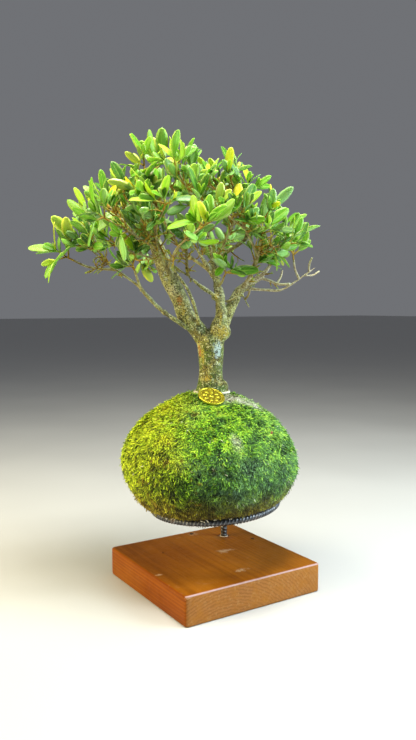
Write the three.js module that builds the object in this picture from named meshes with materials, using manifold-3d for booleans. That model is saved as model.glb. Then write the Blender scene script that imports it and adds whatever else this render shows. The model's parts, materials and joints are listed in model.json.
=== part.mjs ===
// A small tree rooted in a ball of moss, held by a ring of ribbed steel bar on a post in a wooden block.
// Millimetres, +Z up. The origin is the middle of the block's underside, X and Y run along its sides.
import * as THREE from "three";
import { mergeVertices } from "three/addons/utils/BufferGeometryUtils.js";
import Module from "manifold-3d";

const wasm = await Module();
wasm.setup();

// Clearance kept between pieces that touch, and the angle that spreads leaves and sprays evenly
const GAP = 0.3;
const GOLDEN_ANGLE = Math.PI * (3 - Math.sqrt(5));

// How far simplifying may move a surface: on the tree's wood, and on everything else
const WOOD_SLIVER = 0.14;
const SLIVER = 0.08;

// Wooden block
const BLOCK_SIDE = 150;
const BLOCK_HEIGHT = 28;
const BLOCK_CORNER = 3;
const BLOCK_BEVEL = 1.6;

// Ribbed steel bar, its post and its ring
const BAR_RADIUS = 3.1;
const RIB_HEIGHT = 0.35;
const RIB_PITCH = 9;
const BAR_SIDES = 5;
const POST_X = 43;
const POST_Y = 43;
const POST_DEPTH = 22;
const RING_RADIUS = 60.6;
const RING_X = 3;
const RING_Z = 80.7;
const RING_RISE_RIGHT = Math.tan(THREE.MathUtils.degToRad(3.6));
const RING_RISE_BACK = Math.tan(THREE.MathUtils.degToRad(1.2));

// The plant's best side faces -Y of its own frame, which is turned on the block by this angle
const PLANT_TURN = THREE.MathUtils.degToRad(-32.6);

// Moss ball: its axis, leaning from foot to flank, the soil inside and the groove that the ring presses into it
const BALL_X = -3.6;
const BALL_FOOT_X = 1.5;
const BALL_SEGMENTS = 28;
const SOIL_SEGMENTS = 18;
const MOSS_LUMP = 0.9;
const SOIL_CENTRE_Z = 124;
const SOIL_RADIUS = 77;
const SOIL_HALF_HEIGHT = 52;
const GROOVE = BAR_RADIUS + RIB_HEIGHT + 0.65;

// Crown: the dome on which the sprays start, and how many of them grow there by the rule
const CROWN_CENTRE = new THREE.Vector3(-36, 0, 318);
const CROWN_REACH = new THREE.Vector3(108, 90, 90);
const CROWN_LEFT_REACH = 98;
const GROWN_SPRAYS = 32;
const CROWN_FIRST_TURN = 3.0;
const TIP_RADIUS = 1.0;
const TWIG_TRIES = 10;

// Leaves
const LEAF_SHORTEST = 15;
const LEAF_SPREAD = 15;
const LEAF_THICKNESS = 0.75;
const LEAF_TRIES = 9;
const LEAVES_ON_TWIG = [3, 3, 2];

// Name disc at the foot of the trunk
const DISC_RADIUS = 12.8;
const DISC_THICKNESS = 1.2;
const DISC_RELIEF = 0.5;
const DISC_AT = new THREE.Vector3(-0.9, -26.9, 190.2);
const DISC_TILT = THREE.MathUtils.degToRad(27);
const DISC_ROLL = THREE.MathUtils.degToRad(13);
const DISC_BED = 2.2;
const DISC_BED_SLOPE = Math.tan(THREE.MathUtils.degToRad(8));

const material = (color, roughness, metalness = 0) =>
  new THREE.MeshStandardMaterial({ color, roughness, metalness, flatShading: true });
const WOOD = material(0x8a4f1c, 0.35);
const STEEL = material(0x4a4d55, 0.45, 0.9);
const SOIL = material(0x4a3a28, 0.95);
const MOSS = material(0x5f9a1e, 0.95);
const BARK = material(0x8a8a60, 0.85);
const LEAF = material(0x5fae2c, 0.5);
const GOLD = material(0xd8b02c, 0.3, 0.9);

// A stream of random numbers from 0 to 1 that is the same on each run.
function stream(seed) {
  let state = (seed * 7919 + 104729) % 4294967296;
  const draw = () => {
    state = (state * 1664525 + 1013904223) % 4294967296;
    return state / 4294967296;
  };
  draw();
  draw();
  return draw;
}

// A closed solid from a geometry.
function solid(geometry) {
  const bare = geometry.index ? geometry.clone() : geometry;
  bare.deleteAttribute("normal");
  bare.deleteAttribute("uv");
  const merged = mergeVertices(bare, 1e-4);
  return new wasm.Manifold(
    new wasm.Mesh({
      numProp: 3,
      vertProperties: new Float32Array(merged.attributes.position.array),
      triVerts: new Uint32Array(merged.index.array),
    }),
  );
}

// A named mesh from a solid.
function named(name, body, look) {
  const { vertProperties, triVerts } = body.getMesh();
  const geometry = new THREE.BufferGeometry();
  geometry.setAttribute("position", new THREE.BufferAttribute(vertProperties, 3));
  geometry.setIndex(new THREE.BufferAttribute(triVerts, 1));
  geometry.computeVertexNormals();
  const mesh = new THREE.Mesh(geometry, look);
  mesh.name = name;
  return mesh;
}

const joined = (bodies) => bodies.reduce((all, one) => all.add(one));

// The main body of a join: slivers cleared, any sealed hollow filled and any loose scrap dropped.
const whole = (body, sliver = SLIVER) =>
  body
    .asOriginal()
    .simplify(sliver)
    .decompose()
    .reduce((most, one) => (one.volume() > most.volume() ? one : most));

// The closed surface through rings of points. A ring of one point is a tip, a wider end ring is closed flat.
function skin(rings) {
  const index = [];
  let first = 0;
  rings.slice(0, -1).forEach((ring, k) => {
    const next = first + ring.length;
    const across = Math.max(ring.length, rings[k + 1].length);
    for (let i = 0; i < across; i++) {
      const j = (i + 1) % across;
      const low = ring.length === 1 ? [first, first] : [first + i, first + j];
      const high = rings[k + 1].length === 1 ? [next, next] : [next + i, next + j];
      if (low[0] !== low[1]) index.push(low[0], low[1], high[1]);
      if (high[0] !== high[1]) index.push(low[0], high[1], high[0]);
    }
    first = next;
  });
  for (let i = 1; i + 1 < rings[0].length; i++) index.push(0, i + 1, i);
  for (let i = 1; i + 1 < rings.at(-1).length; i++) index.push(first, first + i, first + i + 1);
  const geometry = new THREE.BufferGeometry().setFromPoints(rings.flat());
  geometry.setIndex(index);
  return geometry;
}

// A smooth run of stations {at, radius} through control points [x, y, z, radius], in steps to a span.
function stations(controls, steps) {
  const point = (i) => {
    const last = controls.length - 1;
    if (i < 0) return controls[0].map((v, a) => 2 * v - controls[1][a]);
    if (i > last) return controls[last].map((v, a) => 2 * v - controls[last - 1][a]);
    return controls[i];
  };
  const run = [];
  for (let k = 0; k <= (controls.length - 1) * steps; k++) {
    const span = Math.min(Math.floor(k / steps), controls.length - 2);
    const t = k / steps - span;
    const [a, b, c, d] = [-1, 0, 1, 2].map((o) => point(span + o));
    const value = b.map((v, i) => {
      const square = 2 * a[i] - 5 * v + 4 * c[i] - d[i];
      const cube = 3 * (v - c[i]) + d[i] - a[i];
      return v + 0.5 * t * (c[i] - a[i] + t * (square + t * cube));
    });
    run.push({ at: new THREE.Vector3(...value), radius: value[3] });
  }
  return run;
}

// The unit direction of a run of stations at one of them.
function heading(run, k) {
  const from = run[Math.max(k - 1, 0)].at;
  const to = run[Math.min(k + 1, run.length - 1)].at;
  return to.clone().sub(from).normalize();
}

// The rings of points of a round bar along a run, carried on from ring to ring without twist.
function barRings(run, sides) {
  let across = new THREE.Vector3(1, 0, 0);
  return run.map(({ at, radius }, k) => {
    const ahead = heading(run, k);
    if (Math.abs(across.dot(ahead)) > 0.95) across = new THREE.Vector3(0, 1, 0);
    across = across.clone().addScaledVector(ahead, -across.dot(ahead)).normalize();
    const other = ahead.clone().cross(across);
    return Array.from({ length: sides }, (_, i) => {
      const angle = (2 * Math.PI * i) / sides;
      return at
        .clone()
        .addScaledVector(across, radius * Math.cos(angle))
        .addScaledVector(other, radius * Math.sin(angle));
    });
  });
}

const bar = (run, sides) => solid(skin(barRings(run, sides)));

// The height of the ring's centre line over a point of the plant's frame.
const ringHeight = (x, y) => RING_Z + (x - RING_X) * RING_RISE_RIGHT + y * RING_RISE_BACK;

// Block of solid wood with rounded corners, softened edges and a blind hole for the post.
function block() {
  const half = BLOCK_SIDE / 2 - BLOCK_BEVEL;
  const round = BLOCK_CORNER;
  const outline = new THREE.Shape();
  outline.moveTo(-half + round, -half);
  outline.lineTo(half - round, -half);
  outline.absarc(half - round, -half + round, round, -Math.PI / 2, 0);
  outline.lineTo(half, half - round);
  outline.absarc(half - round, half - round, round, 0, Math.PI / 2);
  outline.lineTo(-half + round, half);
  outline.absarc(-half + round, half - round, round, Math.PI / 2, Math.PI);
  outline.lineTo(-half, -half + round);
  outline.absarc(-half + round, -half + round, round, Math.PI, Math.PI * 1.5);
  const slab = new THREE.ExtrudeGeometry(outline, {
    depth: BLOCK_HEIGHT - 2 * BLOCK_BEVEL,
    bevelSize: BLOCK_BEVEL,
    bevelThickness: BLOCK_BEVEL,
    bevelSegments: 2,
    curveSegments: 2,
  });
  slab.translate(0, 0, BLOCK_BEVEL);
  const hole = bar(
    [
      { at: new THREE.Vector3(POST_X, POST_Y, BLOCK_HEIGHT - POST_DEPTH), radius: BAR_RADIUS + GAP + 0.1 },
      { at: new THREE.Vector3(POST_X, POST_Y, BLOCK_HEIGHT + 1), radius: BAR_RADIUS + GAP + 0.1 },
    ],
    2 * BAR_SIDES,
  );
  return solid(slab).subtract(hole);
}

// Post: plain in the block, ribbed above it, with the weld's collar under the ring.
function post(topZ) {
  const foot = BLOCK_HEIGHT - POST_DEPTH + GAP;
  const weld = topZ - 3;
  const run = [{ at: new THREE.Vector3(POST_X, POST_Y, foot), radius: BAR_RADIUS }];
  for (let z = BLOCK_HEIGHT + RIB_PITCH / 2, k = 0; z < weld; z += RIB_PITCH / 2, k++)
    run.push({ at: new THREE.Vector3(POST_X, POST_Y, z), radius: BAR_RADIUS + (k % 2) * RIB_HEIGHT });
  run.push({ at: new THREE.Vector3(POST_X, POST_Y, weld), radius: BAR_RADIUS });
  run.push({ at: new THREE.Vector3(POST_X, POST_Y, topZ), radius: BAR_RADIUS + 1.2 });
  return bar(run, BAR_SIDES);
}

// Ring: the same bar bent round, its ribs standing across it.
function ring() {
  const ribs = Math.round((2 * Math.PI * RING_RADIUS) / RIB_PITCH);
  const steps = 2 * ribs;
  const rings = Array.from({ length: steps }, (_, k) => {
    const round = (2 * Math.PI * k) / steps;
    const radius = BAR_RADIUS + (k % 2) * RIB_HEIGHT;
    return Array.from({ length: BAR_SIDES }, (_, i) => {
      const angle = (2 * Math.PI * (i + 0.5)) / BAR_SIDES;
      const out = RING_RADIUS + radius * Math.cos(angle);
      const x = RING_X + out * Math.cos(round);
      const y = out * Math.sin(round);
      return new THREE.Vector3(x, y, ringHeight(x, y) + radius * Math.sin(angle));
    });
  });
  const index = [];
  for (let k = 0; k < steps; k++)
    for (let i = 0; i < BAR_SIDES; i++) {
      const [a, b] = [k, (k + 1) % steps].map((s) => s * BAR_SIDES + i);
      const [c, d] = [k, (k + 1) % steps].map((s) => s * BAR_SIDES + ((i + 1) % BAR_SIDES));
      index.push(a, b, d, a, d, c);
    }
  const geometry = new THREE.BufferGeometry().setFromPoints(rings.flat());
  geometry.setIndex(index);
  return solid(geometry);
}

// How strongly a height follows the ring's tilt: fully at the ring, not at all at the ball's middle.
const tiltShare = (z) => THREE.MathUtils.smoothstep(-z, -122, -90);

// A lathed body of the ball, leaned below so that it lies level in the tilted ring.
function ballBody(profile, segments, shape = () => {}) {
  const geometry = new THREE.LatheGeometry(profile, segments).rotateX(Math.PI / 2);
  const places = geometry.attributes.position;
  const at = new THREE.Vector3();
  for (let i = 0; i < places.count; i++) {
    at.fromBufferAttribute(places, i);
    shape(at);
    at.z += tiltShare(at.z) * (ringHeight(at.x, at.y) - RING_Z);
    places.setXYZ(i, at.x, at.y, at.z);
  }
  return solid(geometry);
}

// Half an ellipse from the axis below to the axis above, for the soil and for the moss's inner side.
function ovalProfile(grow) {
  return Array.from({ length: 11 }, (_, k) => {
    const angle = -Math.PI / 2 + (Math.PI * k) / 10;
    const out = k % 10 === 0 ? 0 : (SOIL_RADIUS + grow) * Math.cos(angle);
    return new THREE.Vector2(out, SOIL_CENTRE_Z + (SOIL_HALF_HEIGHT + grow) * Math.sin(angle));
  });
}

// Where the ball's axis stands at a height.
const axisX = (z) => THREE.MathUtils.lerp(BALL_FOOT_X, BALL_X, THREE.MathUtils.smoothstep(z, 85, 130));

const centred = (at) => at.set(at.x + axisX(at.z), at.y, at.z);

// Moss: belly inside the ring, the groove over the bar, then the round flank and the shoulder.
function mossOutside() {
  const groove = [205, 160, 115, 65].map((degrees) => {
    const angle = THREE.MathUtils.degToRad(degrees);
    return [RING_RADIUS + GROOVE * Math.cos(angle), RING_Z + GROOVE * Math.sin(angle)];
  });
  const profile = [
    [0, 67],
    [28, 69.5],
    [46, 74.5],
    ...groove,
    [64.3, 85.2],
    [70.6, 91],
    [75.9, 98],
    [80.4, 106],
    [84.1, 117],
    [83.6, 130],
    [79.8, 142],
    [72.4, 154],
    [61.4, 166],
    [43.8, 178],
    [26, 187.1],
    [0, 192],
  ].map(([r, z]) => new THREE.Vector2(r, z));
  const grooveEnd = RING_RADIUS + GROOVE;
  return ballBody(profile, BALL_SEGMENTS, (at) => {
    const out = Math.hypot(at.x, at.y);
    if (out < grooveEnd && at.z < 86) {
      at.x += RING_X * (out / grooveEnd);
      return;
    }
    const turn = Math.atan2(at.y, at.x);
    const lump = MOSS_LUMP * Math.sin(3 * turn + at.z / 17) * Math.sin(2 * turn - at.z / 23);
    const spread = out > 0 ? 1 + lump / out : 1;
    at.set(axisX(at.z) + at.x * spread, at.y * spread, at.z);
    const fromDisc = Math.hypot(at.x - DISC_AT.x, at.y - DISC_AT.y) / DISC_RADIUS;
    if (at.z > DISC_AT.z - 20) {
      const slope = DISC_BED_SLOPE * (1 - THREE.MathUtils.smoothstep(fromDisc, 1.1, 1.8));
      at.z += DISC_BED * Math.exp(-fromDisc * fromDisc) - (at.x - DISC_AT.x) * slope;
    }
  });
}

// The tree's own lines, as [x, y, z, radius]: x to the right and y away from its best side.
const ROOT = [
  [0, 0, 150, 11],
  [0, 0, 170, 14.5],
  [-0.4, 0, 184, 16.4],
  [-0.4, 0, 190, 16.4],
  [-0.8, 0, 195, 14.6],
  [-1.2, 0, 202, 12.2],
  [-1.4, 0, 213, 11.2],
  [-1.1, 0, 227, 12],
  [-1.6, 0, 238, 13],
  [-2, 0, 245, 12],
  [-2, 0, 249, 7],
];
const LEFT_LIMB = [
  [-5, 0, 238, 8.4],
  [-13.5, -2, 251, 8.4],
  [-24.5, -4, 264, 8.4],
  [-31, -5, 281, 8],
  [-42, -5, 304, 8.3],
  [-51, -3, 326, 7],
  [-57, 0, 342, 5],
];
const MIDDLE_LIMB = [
  [2, 0, 240, 8.5],
  [5, -1, 254, 7],
  [8, -2, 266, 5.2],
  [7, -1, 281, 4.2],
  [4, 1, 299, 3.8],
  [1, 3, 318, 3.2],
  [-5, 6, 345, 2.6],
  [-10, 8, 368, 2],
];
const RIGHT_LIMB = [
  [5, 2, 245, 7],
  [13, 3, 263, 6],
  [22, 4, 281, 5],
  [30, 4, 293, 4.4],
  [47, 2, 303, 3.2],
  [58, 1, 318, 2.6],
  [67, 2, 336, 2],
];
const BACK_LIMB = [
  [3, 4, 242, 6.5],
  [9, 14, 264, 4.2],
  [9, 27, 288, 3.6],
  [-2, 38, 310, 3.1],
  [-16, 46, 334, 2.4],
];
const DIAGONAL = [
  [2, 3, 313, 2.4],
  [8, 0, 322, 2],
  [31, -6, 337, 1.8],
  [48, -10, 356, 1.4],
];
const CROSSING = [
  [7, -1, 281, 2.8],
  [0, -5, 286, 2.4],
  [-12, -9, 294, 2.1],
  [-23, -12, 303, 2],
  [-45, -18, 319, 1.8],
  [-60, -22, 340, 1.5],
];
const CROSSING_TWIG = [
  [-23, -12, 303, 1.9],
  [-24, -13, 312, 1.7],
  [-24, -18, 326, 1.4],
];
const THIN_LEFT = [
  [-8.5, -5, 247, 3],
  [-13, -11, 261, 2.4],
  [-17, -15, 275, 2.1],
  [-23, -18, 290, 1.9],
  [-34, -22, 306, 1.7],
  [-44, -28, 322, 1.5],
];
const LOW_LEFT = [
  [-8, -3, 243, 4],
  [-22, -8, 252, 3.1],
  [-30, -11, 258, 3],
  [-47, -16, 270, 2.7],
  [-60, -20, 283, 2.4],
  [-71, -22, 295, 2.2],
  [-92, -24, 310, 1.7],
  [-112, -24, 326, 1.3],
];
const FAR_LEFT = [
  [-90, -24, 308.5, 1.5],
  [-104, -27, 309, 1.4],
  [-116, -28, 311, 1.2],
  [-127, -27, 316, 1],
];
const LEFT_TWIG = [
  [-66, -21, 289, 1.5],
  [-69, -28, 299, 1.3],
  [-71, -33, 307, 1.1],
];
const LONG_RIGHT = [
  [27, 4, 289, 3],
  [38, 2, 291, 2.4],
  [52, 0, 290, 2.1],
  [66, -2, 290, 1.9],
  [79, -4, 297.5, 1.6],
  [88, -5, 304, 1.3],
  [98, -6, 311, 1],
];
const RIGHT_LOOP = [
  [46, 2, 302, 1.9],
  [55, 1, 299, 1.6],
  [64, -1, 295.5, 1.5],
  [75, -3.5, 295.5, 1.4],
];
const LOOP_TWIG = [
  [62, 0, 296, 1.2],
  [66, 3, 302, 1],
  [68, 5, 309, 0.8],
];
const UPRIGHT = [
  [83, -4.5, 300.5, 1.2],
  [79, -6, 309, 1.1],
  [77, -9, 318, 1],
];
const END_TWIG = [
  [92, -5.3, 306.5, 1],
  [92, -9, 314, 0.9],
  [94, -12, 320, 0.8],
];
const LAST_TWIG = [
  [88, -5, 304, 1],
  [96, -2, 304, 0.9],
  [103, 1, 308, 0.8],
];
const HANGING = [
  [28, 4, 290, 2.2],
  [31, 0, 282, 1.6],
  [36, -2, 273, 1.1],
];
const HANGING_PRONG = [
  [31.5, -0.5, 281, 1.3],
  [34.5, -3, 284.5, 1.1],
  [36, -6, 290, 0.9],
];
const FRONT_TWIG = [
  [5, 0, 292, 1.7],
  [9, -9, 297, 1.3],
  [11, -15, 302, 1.1],
];
const FRONT_RIGHT = [
  [29, 4, 291, 2.6],
  [37, -11, 305, 2.1],
  [42, -26, 321, 1.7],
  [44, -38, 336, 1.4],
];
const FRONT_LEFT = [
  [-36, -5, 292, 3],
  [-42, -19, 309, 2.3],
  [-50, -33, 326, 1.8],
  [-58, -44, 341, 1.4],
];
const RIGHT_TWIG = [
  [31, 4, 293, 1.8],
  [35, 0, 302, 1.4],
  [38, -5, 311, 1.1],
];

// Each line with its sides, its steps to a span, how far along it the crown's branches may start
// (2: none do) and whether it ends in a spray.
const LINES = [
  { controls: ROOT, sides: 12, steps: 1, bearsFrom: 2 },
  { controls: LEFT_LIMB, sides: 8, steps: 1, bearsFrom: 0.5 },
  { controls: MIDDLE_LIMB, sides: 6, steps: 1, bearsFrom: 0.6, spray: true },
  { controls: RIGHT_LIMB, sides: 6, steps: 1, bearsFrom: 0.65, spray: true },
  { controls: BACK_LIMB, sides: 6, steps: 1, bearsFrom: 0.6, spray: true },
  { controls: DIAGONAL, sides: 5, steps: 1, bearsFrom: 0.5, spray: true },
  { controls: FRONT_RIGHT, sides: 5, steps: 1, bearsFrom: 0.3, spray: true },
  { controls: FRONT_LEFT, sides: 5, steps: 1, bearsFrom: 0.3, spray: true },
  { controls: CROSSING, sides: 5, steps: 1, bearsFrom: 0.7, spray: true },
  { controls: CROSSING_TWIG, sides: 5, steps: 1, bearsFrom: 0.4, spray: true },
  { controls: THIN_LEFT, sides: 5, steps: 1, bearsFrom: 0.75, spray: true },
  { controls: LOW_LEFT, sides: 5, steps: 1, bearsFrom: 0.72, spray: true },
  { controls: FAR_LEFT, sides: 4, steps: 1, bearsFrom: 2, spray: true },
  { controls: LEFT_TWIG, sides: 4, steps: 1, bearsFrom: 2, spray: true },
  { controls: LONG_RIGHT, sides: 5, steps: 1, bearsFrom: 2 },
  { controls: RIGHT_LOOP, sides: 4, steps: 1, bearsFrom: 2 },
  { controls: LOOP_TWIG, sides: 4, steps: 1, bearsFrom: 2 },
  { controls: UPRIGHT, sides: 4, steps: 1, bearsFrom: 2, spray: true },
  { controls: END_TWIG, sides: 4, steps: 1, bearsFrom: 2 },
  { controls: LAST_TWIG, sides: 4, steps: 1, bearsFrom: 2 },
  { controls: HANGING, sides: 4, steps: 1, bearsFrom: 2 },
  { controls: HANGING_PRONG, sides: 4, steps: 1, bearsFrom: 2 },
  { controls: FRONT_TWIG, sides: 4, steps: 1, bearsFrom: 2, spray: true },
  { controls: RIGHT_TWIG, sides: 4, steps: 1, bearsFrom: 2, spray: true },
];
const BURL = { at: new THREE.Vector3(8, -1, 250), reach: new THREE.Vector3(11.5, 10, 9.8) };
const ROOT_BULGE = { at: new THREE.Vector3(8, -3, 196.5), reach: new THREE.Vector3(8.6, 7.5, 8) };

// A rounded swelling of the trunk.
function swelling({ at, reach }) {
  return solid(
    new THREE.SphereGeometry(1, 8, 5)
      .rotateX(Math.PI / 2)
      .scale(...reach)
      .translate(...at),
  );
}

// Where the crown's own sprays start: spread by the golden angle over a dome between a ball and a cone,
// on three depths.
function crownPlaces() {
  return Array.from({ length: GROWN_SPRAYS }, (_, k) => {
    const out = ((k + 0.5) / GROWN_SPRAYS) ** 0.44;
    const height = 0.5 * (Math.sqrt(1 - out * out) + 1 - out * out);
    const turn = CROWN_FIRST_TURN + k * GOLDEN_ANGLE;
    const place = new THREE.Vector3(out * Math.cos(turn), out * Math.sin(turn), height);
    const reach = CROWN_REACH.clone();
    if (place.x < 0) reach.x = CROWN_LEFT_REACH;
    return place
      .multiplyScalar(1 - 0.09 * (k % 3))
      .multiply(reach)
      .add(CROWN_CENTRE);
  });
}

// The direction out of the crown at a point, as the dome's own normal.
const outward = (at) => at.clone().sub(CROWN_CENTRE).divide(CROWN_REACH).divide(CROWN_REACH).normalize();

// Branches of the crown: from the fork outwards, each place is joined to the wood that reaches it best.
function growBranches(lines) {
  const fork = new THREE.Vector3(-2, 0, 245);
  const joints = [];
  const addJoints = (branch, from, to) => {
    for (let k = from; k <= to; k++) {
      const here = branch.run[k].at;
      joints.push({ branch, at: here, ahead: heading(branch.run, k) });
      if (k === to) continue;
      const next = branch.run[k + 1].at;
      const ahead = next.clone().sub(here).normalize();
      joints.push({ branch, at: here.clone().lerp(next, 0.5), ahead });
    }
  };
  for (const line of lines) {
    const last = line.run.length - 1;
    addJoints(line, Math.ceil(line.bearsFrom * last), last - (line.spray ? 1 : 0));
  }
  const places = crownPlaces().sort((a, b) => a.distanceTo(fork) - b.distanceTo(fork));
  return places.map((place, number) => {
    const draw = stream(500 + number);
    let best = null;
    for (const joint of joints) {
      const way = place.clone().sub(joint.at);
      const length = way.length();
      const flatness = Math.max(0, 0.4 * Math.hypot(way.x, way.y) - way.z);
      const cost = length * (1.9 - way.dot(joint.ahead) / length) + 2 * flatness;
      if (length > 14 && (!best || cost < best.cost)) best = { joint, cost, length };
    }
    const { joint, length } = best;
    const middle = joint.at
      .clone()
      .lerp(place, 0.5)
      .addScaledVector(joint.ahead, 0.1 * length)
      .add(new THREE.Vector3(draw() - 0.5, draw() - 0.5, draw() - 0.8).multiplyScalar(0.12 * length));
    const branch = { parent: joint, load: 1, sides: 4, steps: 2, spray: true };
    branch.controls = [joint.at, middle, place].map((at) => [...at, TIP_RADIUS]);
    branch.run = stations(branch.controls, branch.steps);
    addJoints(branch, 1, branch.run.length - 2);
    for (let up = joint; up; up = up.branch.parent) up.branch.load = (up.branch.load ?? 1) + 1;
    return branch;
  });
}

// A branch that bears more sprays is thicker at its root.
function thicken(branch) {
  const root = 0.75 + 0.4 * Math.sqrt(branch.load);
  const last = branch.run.length - 1;
  branch.run.forEach((station, k) => {
    station.radius = THREE.MathUtils.lerp(root, TIP_RADIUS, k / last);
  });
}

// The place and the directions of a spray's twigs: a leader and two side twigs.
function twigsOf(branch, number, attempt) {
  const draw = stream(900 + 60 * attempt + number);
  const last = branch.run.length - 1;
  const end = branch.run[last];
  const arriving = heading(branch.run, last);
  const ahead = outward(end.at)
    .multiplyScalar(0.5)
    .addScaledVector(arriving, 0.75)
    .add(new THREE.Vector3(draw() - 0.5, draw() - 0.5, draw() - 0.05));
  ahead.setZ(Math.max(ahead.z, 0.3)).normalize();
  const side = new THREE.Vector3(-ahead.y, ahead.x, 0.01).normalize();
  const over = ahead.clone().cross(side);
  const root = end.at.clone().addScaledVector(arriving, GAP);
  const reach = 13 + 5 * draw();
  const bend = root
    .clone()
    .addScaledVector(arriving, 0.35 * reach)
    .addScaledVector(ahead, 0.1 * reach);
  const tip = bend.clone().addScaledVector(ahead, 0.6 * reach);
  const leader = [
    { at: root, radius: end.radius * 0.98 },
    { at: bend, radius: 0.9 },
    { at: tip, radius: 0.75 },
  ];
  const turn = 2 * Math.PI * draw();
  const sideTwigs = [0, 1].map((which) => {
    const angle = turn + which * Math.PI + 0.7 * (draw() - 0.5);
    const away = ahead
      .clone()
      .multiplyScalar(0.62)
      .addScaledVector(side, Math.cos(angle))
      .addScaledVector(over, Math.sin(angle))
      .add(new THREE.Vector3(0, 0, 0.15))
      .normalize();
    const start = root.clone().lerp(bend, which ? 1 : 0.75);
    return [
      { at: start, radius: 0.85 },
      { at: start.clone().addScaledVector(away, 9 + 4 * draw()), radius: 0.7 },
    ];
  });
  return [leader, ...sideTwigs];
}

// A leaf blade: keeled below, folded up along its edges and arched away from its upper side.
function leafRings({ root, ahead, upper, length, width, arch }, thicker = 0) {
  const side = upper.clone().cross(ahead);
  const widths = [0, 0.86, 0.92, 0];
  return [0, 0.38, 0.7, 1].map((share, k) => {
    const middle = root
      .clone()
      .addScaledVector(ahead, length * share + (k ? thicker : 0))
      .addScaledVector(upper, -arch * length * share * share);
    if (!widths[k]) return [middle];
    const half = (width / 2) * widths[k] + thicker;
    const lift = 0.16 * half;
    const thick = LEAF_THICKNESS + thicker;
    return [
      middle.clone().addScaledVector(side, half).addScaledVector(upper, lift),
      middle.clone().addScaledVector(side, -half).addScaledVector(upper, lift),
      middle.clone().addScaledVector(upper, -thick),
    ];
  });
}

// One try at a leaf on a twig: its direction is drawn round the twig, and later tries are shorter.
function leafTry(twig, place, attempt, draw) {
  const tip = twig.at(-1).at;
  const along = heading(twig, twig.length - 1);
  const side = new THREE.Vector3(-along.y, along.x, 0.02).normalize();
  const over = along.clone().cross(side);
  const turn = place * GOLDEN_ANGLE + 2 * Math.PI * draw();
  const spread = 0.3 + 0.75 * draw();
  const ahead = along
    .clone()
    .multiplyScalar(Math.cos(spread))
    .addScaledVector(side, Math.sin(spread) * Math.cos(turn))
    .addScaledVector(over, Math.sin(spread) * Math.sin(turn))
    .add(new THREE.Vector3(0, 0, 0.22))
    .normalize();
  const upper = along.clone().addScaledVector(ahead, -along.dot(ahead)).normalize();
  const length = (LEAF_SHORTEST + LEAF_SPREAD * draw() ** 1.5) * (1 - 0.04 * attempt);
  const width = length * (0.33 + 0.09 * draw());
  const arch = 0.02 + 0.16 * draw();
  const root = tip.clone().addScaledVector(along, -0.3 - 2.2 * place);
  return { root, ahead, upper, length, width, arch };
}

const boxOf = (rings) => new THREE.Box3().setFromPoints(rings.flat());

// True where a body meets one of the others whose box it touches.
function meets(body, box, others) {
  return others.some((other) => other.box.intersectsBox(box) && !body.intersect(other.body).isEmpty());
}

// Sprays: twigs first, then each leaf takes its first try that is clear of the wood and of every other leaf.
function growSprays(branches, wood) {
  const { min, max } = wood.boundingBox();
  const standing = { body: wood, box: new THREE.Box3(new THREE.Vector3(...min), new THREE.Vector3(...max)) };
  const sprays = [];
  branches.forEach((branch, number) => {
    for (let attempt = 0; attempt < TWIG_TRIES; attempt++) {
      const twigs = twigsOf(branch, number, attempt);
      const others = [standing, ...sprays.flatMap((spray) => spray.bodies)];
      const fat = twigs.map((run) =>
        barRings(
          run.map(({ at, radius }, k) => ({ at, radius: radius + 0.4 * (k > 0) })),
          3,
        ),
      );
      if (fat.some((rings) => meets(solid(skin(rings)), boxOf(rings), others))) continue;
      const bodies = twigs.map((run) => {
        const rings = barRings(run, 3);
        return { body: solid(skin(rings)), box: boxOf(rings) };
      });
      sprays.push({ number, twigs, bodies, blades: [] });
      break;
    }
  });
  sprays.forEach((spray) => {
    const others = [standing, ...sprays.filter((s) => s !== spray).flatMap((s) => s.bodies)];
    spray.twigs.forEach((twig, which) => {
      for (let place = 0; place < LEAVES_ON_TWIG[which]; place++) {
        const draw = stream(2000 + 40 * spray.number + 4 * which + place);
        for (let attempt = 0; attempt < LEAF_TRIES; attempt++) {
          const leaf = leafTry(twig, place, attempt, draw);
          const fat = leafRings(leaf, 0.45);
          const outer = { ...leaf, root: leaf.root.clone().addScaledVector(leaf.ahead, 0.3 * leaf.length) };
          outer.length = 0.7 * leaf.length;
          const outerBody = solid(skin(leafRings(outer, 0.3)));
          if (meets(solid(skin(fat)), boxOf(fat), others)) continue;
          if (meets(outerBody, boxOf(fat), spray.blades)) continue;
          const rings = leafRings(leaf);
          spray.bodies.push({ body: solid(skin(rings)), box: boxOf(rings) });
          spray.blades.push({ body: outerBody, box: boxOf(fat) });
          break;
        }
      }
    });
  });
  return sprays;
}

// Disc: a raised rim, a ring of petals and a boss on a thin plate, lying on the moss against the trunk.
function disc() {
  const half = DISC_THICKNESS / 2;
  const top = half + DISC_RELIEF;
  const plate = new THREE.LatheGeometry(
    [
      [0, -half],
      [DISC_RADIUS, -half],
      [DISC_RADIUS, top],
      [DISC_RADIUS - 1.3, top],
      [DISC_RADIUS - 1.3, half],
      [2.6, half],
      [1.8, top],
      [0, top],
    ].map(([r, z]) => new THREE.Vector2(r, z)),
    20,
  ).rotateX(Math.PI / 2);
  const petals = Array.from({ length: 8 }, (_, k) =>
    solid(
      new THREE.CylinderGeometry(1.3, 1.6, DISC_RELIEF + 0.3, 4)
        .rotateX(Math.PI / 2)
        .scale(2, 1, 1)
        .translate(6.7, 0, half + DISC_RELIEF / 2 - 0.15)
        .rotateZ((k * Math.PI) / 4),
    ),
  );
  return joined([solid(plate), ...petals]);
}

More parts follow.
